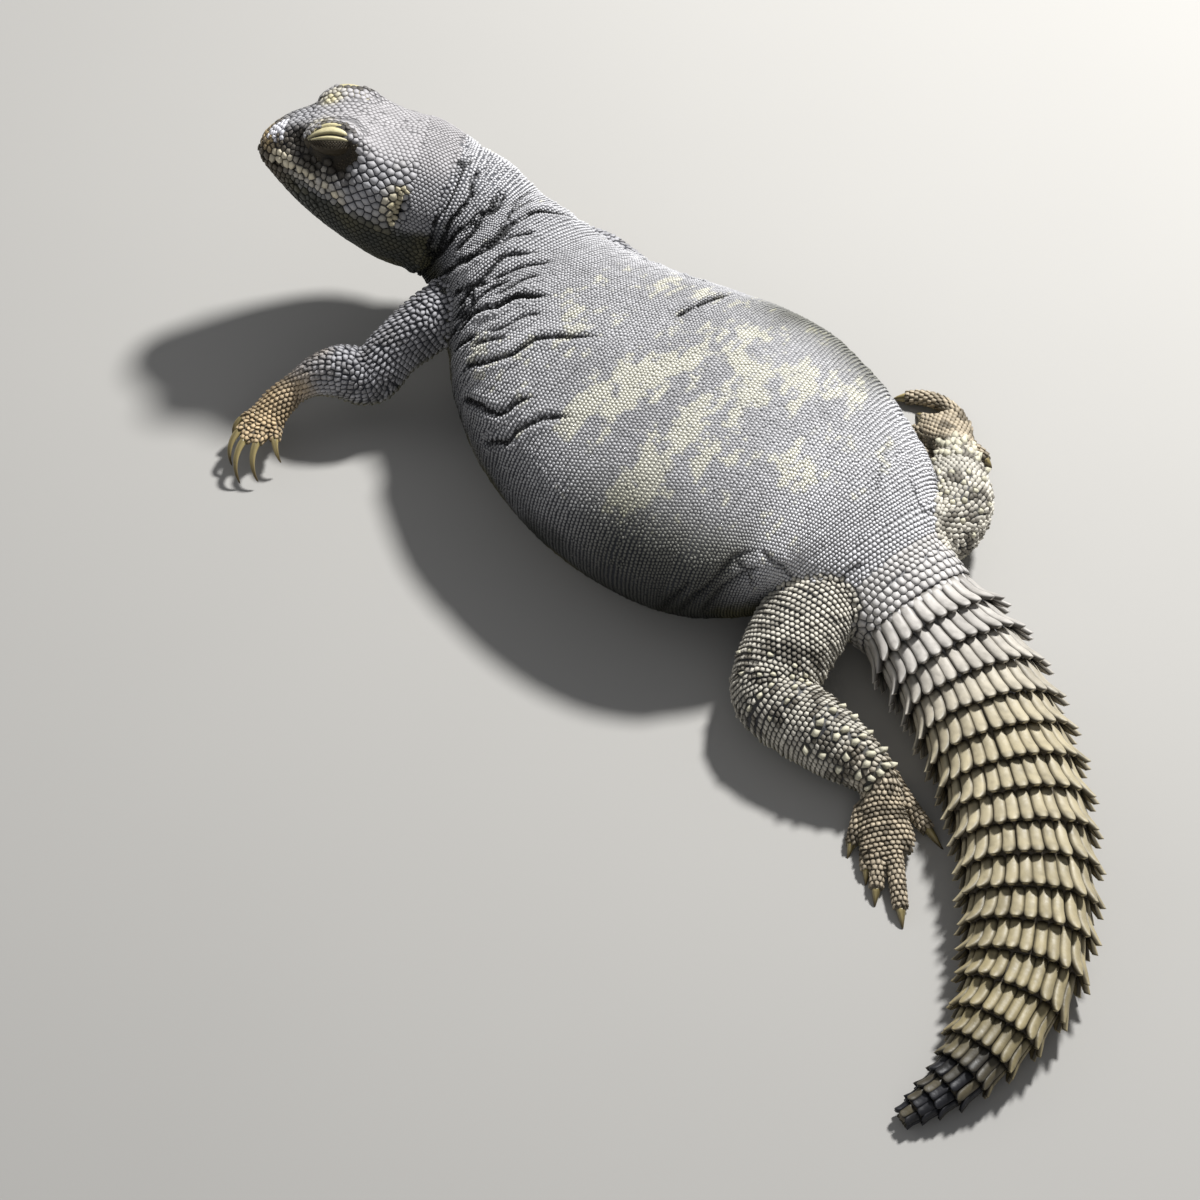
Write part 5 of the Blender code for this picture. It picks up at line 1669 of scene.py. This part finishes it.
def build_lids(props, colours):
    turn = np.linspace(-math.pi, math.pi, LID_COLUMNS + 1)[:-1]
    height = np.linspace(-math.pi / 2, math.pi / 2, LID_ROWS + 2)[1:-1]
    turn, height = np.meshgrid(turn, height)
    x = LID_RADII[0] * np.sin(turn) * np.cos(height)
    y = LID_RADII[1] * np.cos(turn) * np.cos(height)
    z = LID_RADII[2] * np.sin(height)
    local = np.stack([x, y, z], axis=-1)
    off = lid_offset(local)
    front = ramp(y, -1.0, 1.5) * (np.abs(x) < SLIT_HALF_LENGTH + 1.0)
    taper = np.sqrt(np.clip(1 - (x / (SLIT_HALF_LENGTH + 1.2)) ** 2, 0, 1))

    def band(centre, half, power=4):
        return bump(off, centre, half, power)

    bulge = 0.75 * band(1.9, 1.5) + 0.65 * band(4.8, 0.75) + 0.6 * band(-1.2, 0.8)
    groove = 1.6 * band(0, 0.42, 2) + 0.7 * band(3.75, 0.33, 2)
    groove += 0.4 * band(-2.3, 0.33, 2) + 0.5 * band(5.9, 0.4, 2)
    push = front * taper * (bulge - groove) - 2.2 * ramp(-off, 2.5, 10.0) * (y > 0)
    local = local + unit(local / LID_RADII**2) * push[..., None]
    pale = np.clip(band(1.9, 1.6) + band(-1.2, 0.95) + 0.95 * band(4.8, 0.85), 0, 1)
    pale = pale * front * (0.45 + 0.55 * taper)
    for hand, side in ((1, "left"), (-1, "right")):
        points = from_lid(local.reshape(-1, 3), hand)
        low, high = from_lid(np.array([[0, 0, -LID_RADII[2]], [0, 0, LID_RADII[2]]]), hand)
        mesh = new_mesh(f"lids_{side}", *tube_mesh(points.reshape(local.shape), low, high))
        worn = cloud(points, 1.6).reshape(pale.shape)
        colour = mix(colours.lid_dark, colours.lid_light, ramp(off, 5.6, 6.8) * 0.35)
        colour = mix(colour, colours.lid_light, pale * (0.75 + 0.35 * worn).clip(0, 1))
        # Painted shade in the slit between the lids.
        colour = mix(colour, colours.seam * 0.5, band(0, 0.5, 2) * front)
        paint(mesh, np.vstack([colour.reshape(-1, 3), colours.lid_dark, colours.lid_dark]))
        add_piece(mesh, finish_material("lids"))


CLAW_RINGS, CLAW_SIDES = 18, 14
CLAW_ROOT = 0.9


def build_claws(props, colours):
    turn = full_turn(CLAW_SIDES)
    for name, (_, (root, aim, sweep, length, radius, curl)) in TOES.items():
        down = unit(sweep - aim * (aim @ sweep))
        side = np.cross(aim, down)
        place = root - aim * CLAW_ROOT
        grid, tones = [], []
        for step in range(CLAW_RINGS):
            share = step / (CLAW_RINGS - 1)
            bend = math.radians(curl * share)
            along = aim * math.cos(bend) + down * math.sin(bend)
            up = -(down * math.cos(bend) - aim * math.sin(bend))
            size = radius * (1 - CLAW_TAPER * share**1.15) * (1.0 if share > 0.06 else 0.94)
            thin = CLAW_THINNESS * (0.8 + 0.2 * (1 - share))
            belly = np.where(np.sin(turn) < 0, 0.82, 1.0)
            ring = np.outer(np.cos(turn) * size * thin, side)
            grid.append(place + ring + np.outer(np.sin(turn) * size * belly, up))
            streak = 0.8 + 0.35 * np.cos(turn * 3 + share * 2)
            tone = mix(colours.claw, colours.claw * (0.28, 0.24, 0.2), ramp(share, 0.35, 1.0))
            tones.append(tone * streak[:, None])
            place = place + along * (length + CLAW_ROOT) / CLAW_RINGS
        grid = np.array(grid)
        grid[..., 2] = np.maximum(grid[..., 2], 0.05)
        place[2] = max(place[2], 0.1)
        mesh = new_mesh(f"horn_{name}", *tube_mesh(grid, grid[0].mean(0), place))
        ends = [tones[0][:1], tones[-1][:1]]
        paint(mesh, np.vstack(tones + ends).clip(0, 1))
        leg, digit = name.rsplit("_", 1)
        add_piece(mesh, finish_material("claw_horn"), (f"claw_{leg}_{digit}",))


def build_eyes(props, colours):
    finish = two_tone("eye_ball", colours.eye, colours.eye * 2.2, 900.0, 0.08)
    for side in ("left", "right"):
        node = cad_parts[f"eye_{side}"]
        node.data.materials.clear()
        node.data.materials.append(finish)


# Finishes


# Roughness, how far it varies, grain size in lumps a metre, bump height in metres and specular
FINISHES = {
    "skin": (0.62, 0.12, 900.0, 0.0006, 0.35),
    "scales": (0.56, 0.14, 1400.0, 0.00016, 0.4),
    "tail_scutes": (0.5, 0.14, 700.0, 0.00022, 0.45),
    "lids": (0.42, 0.1, 1600.0, 0.00015, 0.5),
    "claw_horn": (0.3, 0.1, 500.0, 0.0001, 0.5),
}
TONE_RANGE = (0.72, 1.28)


def new_finish(name):
    """A new material, its shader, and what adds a node to it and joins two sockets."""
    made = bpy.data.materials.new(name)
    made.use_nodes = True
    nodes = made.node_tree.nodes
    shader = nodes["Principled BSDF"]
    return made, shader, lambda kind: nodes.new(f"ShaderNode{kind}"), made.node_tree.links.new


def two_tone(name, first, second, lumps, roughness):
    """A finish that drifts softly between two colours, in so many lumps a metre."""
    made, shader, node, link = new_finish(name)
    place, noise, blend = node("TexCoord"), node("TexNoise"), node("Mix")
    noise.inputs["Scale"].default_value = lumps
    blend.data_type = "RGBA"
    blend.inputs["A"].default_value = (*first, 1)
    blend.inputs["B"].default_value = (*second, 1)
    link(place.outputs["Object"], noise.inputs["Vector"])
    link(noise.outputs["Fac"], blend.inputs["Factor"])
    link(blend.outputs["Result"], shader.inputs["Base Color"])
    shader.inputs["Roughness"].default_value = roughness
    return made


def finish_material(name):
    """The finish of this name: it reads each point's own colour, made here on the first call."""
    found = bpy.data.materials.get(f"{name}_finish")
    if found:
        return found
    rough, vary, grain, height, specular = FINISHES[name]
    made, shader, node, link = new_finish(f"{name}_finish")
    place, tint, colour, bump_node = (
        node("TexCoord"), node("Attribute"), node("VectorMath"), node("Bump")
    )
    tint.attribute_name = "tint"
    noises = []
    for scale, detail in ((grain / 8, 4.0), (grain, 3.0)):
        noise = node("TexNoise")
        noise.inputs["Scale"].default_value = scale
        noise.inputs["Detail"].default_value = detail
        link(place.outputs["Object"], noise.inputs["Vector"])
        noises.append(noise.outputs["Fac"])
    large, fine = noises
    spans = []
    for source, (low, high) in ((large, TONE_RANGE), (fine, (rough - vary, rough + vary))):
        span = node("MapRange")
        span.inputs["To Min"].default_value = low
        span.inputs["To Max"].default_value = high
        link(source, span.inputs["Value"])
        spans.append(span.outputs["Result"])
    colour.operation = "SCALE"
    link(tint.outputs["Color"], colour.inputs[0])
    link(spans[0], colour.inputs["Scale"])
    link(colour.outputs["Vector"], shader.inputs["Base Color"])
    link(spans[1], shader.inputs["Roughness"])
    bump_node.inputs["Strength"].default_value = 0.6
    bump_node.inputs["Distance"].default_value = height
    link(fine, bump_node.inputs["Height"])
    link(bump_node.outputs["Normal"], shader.inputs["Normal"])
    shader.inputs["Specular IOR Level"].default_value = specular
    return made


# Stage


CAMERA_BACK = (0.4120, -0.4575, 0.7880)
CAMERA_TARGET = (0.0, -0.012, 0.040)
CAMERA_DISTANCE = 1.5
CAMERA_FOCAL = 3520.0
CAMERA_PIXEL = (665.0, 440.0)
PICTURE = 1200.0
LIGHT_TARGET = (0.05, -0.02, 0.03)
SKY_COLOUR = (0.9, 0.93, 1.0, 1)


def add_object(name, data):
    obj = bpy.data.objects.new(name, data)
    bpy.context.scene.collection.objects.link(obj)
    return obj


def build_stage(props, colours):
    scene = bpy.context.scene
    bpy.ops.mesh.primitive_plane_add(size=props.floor_size, location=(0, 0, 0))
    floor = bpy.context.object
    floor.name = "floor"
    worn = [value * 0.96 for value in props.floor_colour]
    floor.data.materials.append(two_tone("floor_finish", props.floor_colour, worn, 6.0, 0.8))
    for name, place, wide, power in (
        ("key_light", (-0.05, 0.95, 1.20), 0.20, props.key_power),
        ("fill_light", (0.9, -1.0, 0.9), 1.4, props.fill_power),
        ("side_light", (-1.1, -0.6, 0.7), 1.0, props.side_power),
    ):
        data = bpy.data.lights.new(name, "AREA")
        data.shape = "DISK"
        data.size = wide
        data.energy = power
        light = add_object(name, data)
        light.location = place
        aim = Vector(LIGHT_TARGET) - Vector(place)
        light.rotation_euler = aim.to_track_quat("-Z", "Y").to_euler()
    world = bpy.data.worlds.new("studio")
    world.use_nodes = True
    backdrop = world.node_tree.nodes["Background"]
    backdrop.inputs["Color"].default_value = SKY_COLOUR
    backdrop.inputs["Strength"].default_value = props.sky
    scene.world = world
    back = Vector(CAMERA_BACK).normalized()
    right = Vector((0, 0, 1)).cross(back).normalized()
    up = back.cross(right)
    data = bpy.data.cameras.new("camera")
    data.sensor_width = 36.0
    data.lens = CAMERA_FOCAL / PICTURE * data.sensor_width
    camera = add_object("camera", data)
    camera.location = Vector(CAMERA_TARGET) + back * CAMERA_DISTANCE
    centre = PICTURE / 2
    look = -back + right * (centre - CAMERA_PIXEL[0]) / CAMERA_FOCAL
    look = look - up * (centre - CAMERA_PIXEL[1]) / CAMERA_FOCAL
    look.normalize()
    side = look.cross(up).normalized()
    camera.rotation_euler = Matrix((side, side.cross(look), -look)).transposed().to_euler()
    scene.camera = camera
    scene.view_settings.view_transform = "Standard"


# Settings and commands


COLOUR_VALUES = {
    "back": ("Back scales", (0.575, 0.57, 0.58)),
    "head": ("Head scales", (0.40, 0.395, 0.405)),
    # Near black: the skin between scales, partly its own dark colour and partly painted shade in
    # the gaps.
    "seam": ("Skin between scales", (0.018, 0.021, 0.032)),
    "blotch": ("Pale blotches of the back", (0.82, 0.80, 0.69)),
    "belly": ("Pale patches of the belly", (0.26, 0.235, 0.10)),
    "belly_dark": ("Dark patches of the belly", (0.055, 0.06, 0.045)),
    "throat": ("Olive patches of the throat", (0.17, 0.15, 0.06)),
    "lip": ("Lips", (0.80, 0.72, 0.54)),
    "ear": ("Comb of the ear", (0.62, 0.55, 0.36)),
    "salt": ("Salt at the nostril", (0.92, 0.91, 0.95)),
    "lid_light": ("Edges of the lids", (0.80, 0.72, 0.42)),
    # Dark brown of the lower lids, darkened further as painted shade.
    "lid_dark": ("Lower lids", (0.062, 0.049, 0.030)),
    "leg_fore": ("Foreleg scales", (0.39, 0.385, 0.40)),
    "leg_hind": ("Hind leg scales", (0.62, 0.585, 0.50)),
    "foot": ("Feet", (0.46, 0.385, 0.275)),
    "hand": ("Hands", (0.62, 0.47, 0.28)),
    "tubercle": ("Tubercles of the hind legs", (0.70, 0.66, 0.50)),
    "scute": ("Tail scutes", (0.45, 0.39, 0.255)),
    "scute_end": ("Scutes far down the tail", (0.32, 0.265, 0.14)),
    "scute_root": ("Scutes at the tail's root", (0.54, 0.51, 0.47)),
    "scute_dark": ("Gaps of the tail", (0.028, 0.022, 0.014)),
    "tail_end": ("End of the tail", (0.010, 0.010, 0.013)),
    "claw": ("Claws", (0.36, 0.29, 0.13)),
    "eye": ("Eyes", (0.03, 0.02, 0.012)),
}


def colour(title, default):
    return bpy.props.FloatVectorProperty(
        name=title, description=f"Colour of: {title.lower()}", subtype="COLOR", size=3,
        min=0.0, max=1.0, default=default,
    )


def length(title, description, default):
    return bpy.props.FloatProperty(
        name=title, description=description, default=default, min=0.0, unit="LENGTH",
        subtype="DISTANCE",
    )


def power(title, description, default):
    return bpy.props.FloatProperty(
        name=title, description=description, default=default, min=0.0, unit="POWER"
    )


class LizardColours(bpy.types.PropertyGroup):
    __annotations__ = {name: colour(*value) for name, value in COLOUR_VALUES.items()}


class LizardSkin(bpy.types.PropertyGroup):
    voxel: length("Grain", "Size of the skin's smallest faces", 0.00118)
    depth: length("Depth", "How far the skin lies inside the solids", 0.0008)
    tail_depth: length("Tail depth", "How far the tail's skin lies inside the solids", 0.0012)
    toe_depth: length("Toe depth", "How far the toes' skin lies inside the solids", 0.0002)
    clearance: length("Clearance", "Lowest height of the skin above the floor", 0.0003)
    fold_strength: bpy.props.FloatProperty(
        name="Folds", description="Strength of the folds", default=1.0, min=0.0
    )


class LizardCoat(bpy.types.PropertyGroup):
    pitch: length("Back pitch", "Spacing of the beads of the back", 0.00158)
    belly_pitch: length("Belly pitch", "Spacing of the belly's plates", 0.0027)
    head_pitch: length("Head pitch", "Spacing of the plates of the crown", 0.0032)
    leg_pitch: length("Leg pitch", "Spacing of the legs' scales", 0.0024)
    height: length("Height", "Height of the beads of the back", 0.00066)
    sink: length("Root", "How far the scales stand in the skin", 0.00045)
    scute_width: length("Scute width", "Width of a scute of the tail", 0.0055)
    gap: bpy.props.FloatProperty(
        name="Filling", description="Share of its place that a scale fills", default=0.95,
        min=0.5, max=1.0,
    )
    piece_limit: bpy.props.IntProperty(
        name="Piece limit", description="Most triangles of one piece", default=190000, min=1000
    )


class LizardStage(bpy.types.PropertyGroup):
    floor_size: length("Floor", "Side of the floor", 12.0)
    floor_colour: bpy.props.FloatVectorProperty(
        name="Floor colour", description="Colour of the floor", subtype="COLOR", size=3,
        default=(0.46, 0.448, 0.422),
    )
    key_power: power("Key light", "Power of the main light", 38.0)
    fill_power: power("Fill light", "Power of the fill light", 1.7)
    side_power: power("Side light", "Power of the side light", 1.6)
    sky: bpy.props.FloatProperty(
        name="Sky", description="Strength of the even light", default=0.18, min=0.0
    )


class LizardCommand:
    """Each command builds its pieces from one group of settings and the colours."""

    bl_options = {"REGISTER", "UNDO"}
    settings = "lizard_coat"

    def execute(self, context):
        chosen = context.scene.lizard_colours
        colours = {name: np.array(getattr(chosen, name)) for name in COLOUR_VALUES}
        self.build(getattr(context.scene, self.settings), types.SimpleNamespace(**colours))
        return {"FINISHED"}


class LIZARD_OT_skin(LizardCommand, bpy.types.Operator):
    """One skin over all the flesh, with folds, mouth, nostrils, ears and orbits"""

    bl_idname = "lizard.skin"
    bl_label = "Skin"
    settings = "lizard_skin"
    build = staticmethod(build_skin)


class LIZARD_OT_lids(LizardCommand, bpy.types.Operator):
    """Closed lids with their pale bands over both eyes"""

    bl_idname = "lizard.lids"
    bl_label = "Lids"
    build = staticmethod(build_lids)


class LIZARD_OT_scales(LizardCommand, bpy.types.Operator):
    """Scales of the head, trunk, belly and legs, and the skin's markings"""

    bl_idname = "lizard.scales"
    bl_label = "Scales"
    build = staticmethod(build_coat)


class LIZARD_OT_tail(LizardCommand, bpy.types.Operator):
    """Whorls of keeled, pointed scutes along the tail"""

    bl_idname = "lizard.tail"
    bl_label = "Tail scutes"
    build = staticmethod(build_tail)


class LIZARD_OT_claws(LizardCommand, bpy.types.Operator):
    """Curved horn claws on all the toes"""

    bl_idname = "lizard.claws"
    bl_label = "Claws"
    build = staticmethod(build_claws)


class LIZARD_OT_eyes(LizardCommand, bpy.types.Operator):
    """Finish of the eyes behind the lids"""

    bl_idname = "lizard.eyes"
    bl_label = "Eyes"
    build = staticmethod(build_eyes)


class LIZARD_OT_stage(LizardCommand, bpy.types.Operator):
    """Pale floor, soft lights and the camera"""

    bl_idname = "lizard.stage"
    bl_label = "Stage"
    settings = "lizard_stage"
    build = staticmethod(build_stage)


COMMANDS = (
    LIZARD_OT_skin,
    LIZARD_OT_lids,
    LIZARD_OT_scales,
    LIZARD_OT_tail,
    LIZARD_OT_claws,
    LIZARD_OT_eyes,
    LIZARD_OT_stage,
)
SETTINGS = {
    "lizard_skin": LizardSkin,
    "lizard_coat": LizardCoat,
    "lizard_colours": LizardColours,
    "lizard_stage": LizardStage,
}


class LIZARD_PT_panel(bpy.types.Panel):
    """All the commands and their settings"""

    bl_idname = "LIZARD_PT_panel"
    bl_label = "Spiny-tailed lizard"
    bl_space_type = "VIEW_3D"
    bl_region_type = "UI"
    bl_category = "Lizard"

    def draw(self, context):
        for command in COMMANDS:
            self.layout.operator(command.bl_idname)
        for group in SETTINGS:
            settings = getattr(context.scene, group)
            for name in settings.bl_rna.properties.keys():
                if name not in ("rna_type", "name"):
                    self.layout.prop(settings, name)


CLASSES = (*SETTINGS.values(), *COMMANDS, LIZARD_PT_panel)


def register():
    for made in CLASSES:
        bpy.utils.register_class(made)
    for name, group in SETTINGS.items():
        setattr(bpy.types.Scene, name, bpy.props.PointerProperty(type=group))


def unregister():
    for name in SETTINGS:
        delattr(bpy.types.Scene, name)
    for made in reversed(CLASSES):
        bpy.utils.unregister_class(made)


def main():
    register()
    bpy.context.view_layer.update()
    bpy.ops.lizard.skin()
    bpy.ops.lizard.lids()
    bpy.ops.lizard.scales()
    bpy.ops.lizard.tail()
    bpy.ops.lizard.claws()
    bpy.ops.lizard.eyes()
    bpy.ops.lizard.stage()


if __name__ == "__main__":
    main()
